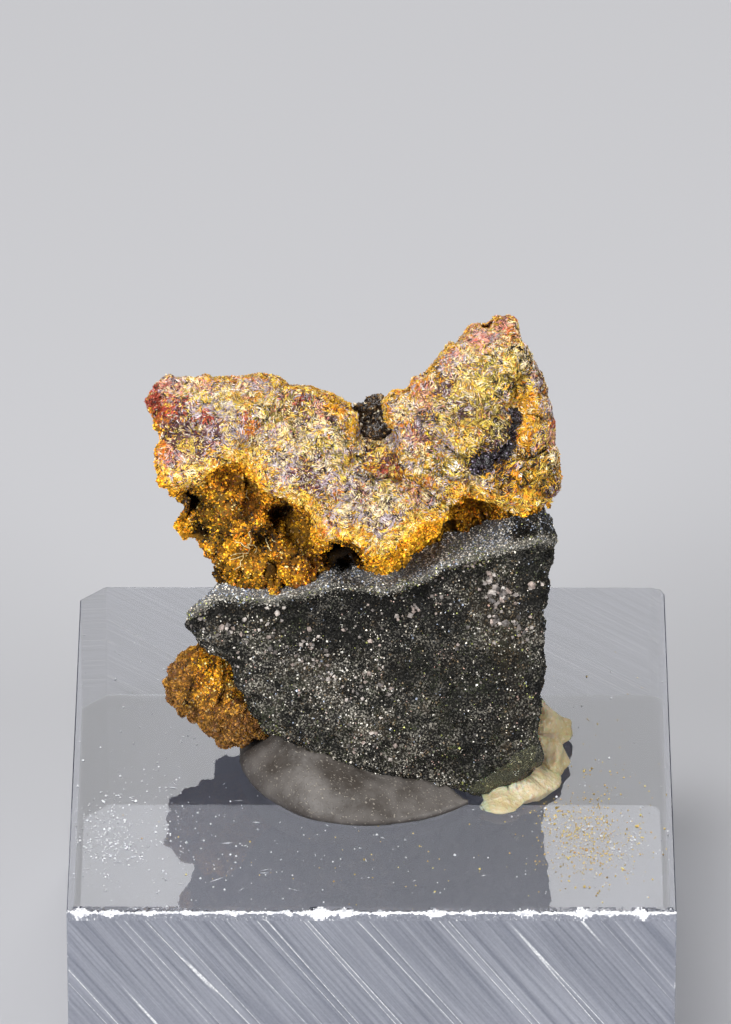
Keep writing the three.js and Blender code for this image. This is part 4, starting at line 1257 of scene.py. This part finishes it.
surface = sawn.node("ShaderNodeMixShader", {}, {0: factor, 1: plastic, 2: glow})
sawn.tree.links.new(surface.socket, sawn.tree.nodes["Material Output"].inputs["Surface"])

white_edge = Finish("chipped_acrylic", Roughness=0.35)
bright = white_edge.noise(0.16, 3.0).above(0.45, 0.12)
white_edge.feed(Base_Color=white_edge.mix(bright, opaque((0.5, 0.51, 0.55)), opaque((0.98, 0.98, 1.0))))
settle(block, "clear_acrylic", polished, "acrylic_block")
block.data.materials.append(sawn.material)
block.data.materials.append(white_edge.material)
block.data.polygons.foreach_set("material_index", kinds)
along_side = block.data.attributes.new("along_side", "FLOAT_VECTOR", "CORNER")
for face in block.data.polygons:
    sideways = abs(face.normal.x) > 0.8
    for corner in face.loop_indices:
        x, y, z = block.data.vertices[block.data.loops[corner].vertex_index].co
        on_side = (y, APART * face.normal.x, z)
        along_side.data[corner].vector = on_side if sideways else (x, face.normal.y, z)

# %% [markdown]
# Dust gives the block its scale. White crumbs gather at the front left, golden crumbs of the
# crust lie at the front right, and bits of lint are strewn between.

# %% Dust on the block
# x, y, spread along x and y, count, share of golden crumbs
DUST = [
    (10.6, -8.4, 1.2, 1.9, 720, 0.85), (11.3, -2.4, 1.3, 1.8, 100, 0.7), (12.6, -9.0, 1.1, 2.0, 170, 0.3),
    (9.0, -6.0, 0.8, 1.0, 60, 0.7), (-13.1, -8.4, 0.9, 1.9, 330, 0.0), (-11.0, -8.5, 1.9, 2.6, 190, 0.02),
    (-11.5, -2.0, 2.0, 3.0, 70, 0.0), (-12.0, 4.0, 1.6, 4.0, 25, 0.0), (2.0, -10.5, 6.0, 2.0, 110, 0.5),
    (-6.0, -9.0, 3.0, 3.0, 70, 0.05), (0.0, 8.0, 9.0, 4.0, 30, 0.1), (11.0, 4.0, 2.0, 3.0, 25, 0.4),
]
spots = []
tints = []
for x, y, spread_x, spread_y, count, golden in DUST:
    across = dice.normal((x, y), (spread_x, spread_y), (count, 2)).clip(-14.7, 14.7)
    spots.append(np.column_stack([across * MM, np.full(count, BLOCK_TOP + 0.015 * MM)]))
    yellow = dice.random((count, 1)) < golden
    crumbs = np.where(yellow, paint(238, 208, 118), paint(244, 246, 250))
    tints.append(crumbs * dice.uniform(0.5, 1.0, (count, 1)))
spots = np.vstack(spots)
tints = np.vstack(tints)
count = len(spots)
widths = np.exp(dice.normal(np.log(0.075), 0.35, count)).clip(0.035, 0.2)
frames = frames_along(dice.normal(0, 1, (count, 3)), dice.normal(0, 1, (count, 3)), widths, widths, widths)
settle(crowd("dust", pointed(4), spots, frames, tints), "yellow_crust", sand_finish)

# %% Lint on the block
LINT = 60
spots = np.column_stack([
    dice.uniform(-14, 6, LINT) * MM, dice.uniform(-13, 0, LINT) * MM, np.full(LINT, BLOCK_TOP + 0.02 * MM)
])
axis = np.column_stack([dice.normal(0, 1, LINT), dice.normal(0, 0.6, LINT), np.zeros(LINT)])
lengths = np.exp(dice.normal(np.log(0.3), 0.45, LINT)).clip(0.15, 1.2)
thick = np.full(LINT, 0.045)
frames = frames_along(axis, np.tile([0.0, 0.0, 1.0], (LINT, 1)), lengths, thick, thick)
tints = np.tile(paint(236, 238, 244), (LINT, 1)) * dice.uniform(0.5, 1, (LINT, 1))
settle(crowd("lint", pointed(4), spots, frames, tints), "clear_acrylic", sand_finish)

# %% Floor
FLOOR_GAP = 0.05

form = bmesh.new()
bmesh.ops.create_grid(form, x_segments=1, y_segments=1, size=3)
mesh = bpy.data.meshes.new("floor")
form.to_mesh(mesh)
form.free()
floor = placed("floor", mesh)
floor.location.z = -FLOOR_GAP * MM
floor_finish = Finish("pale_floor", Roughness=0.7)
floor_finish.shader.inputs["Base Color"].default_value = (0.52, 0.52, 0.54, 1)
mesh.materials.append(floor_finish.material)
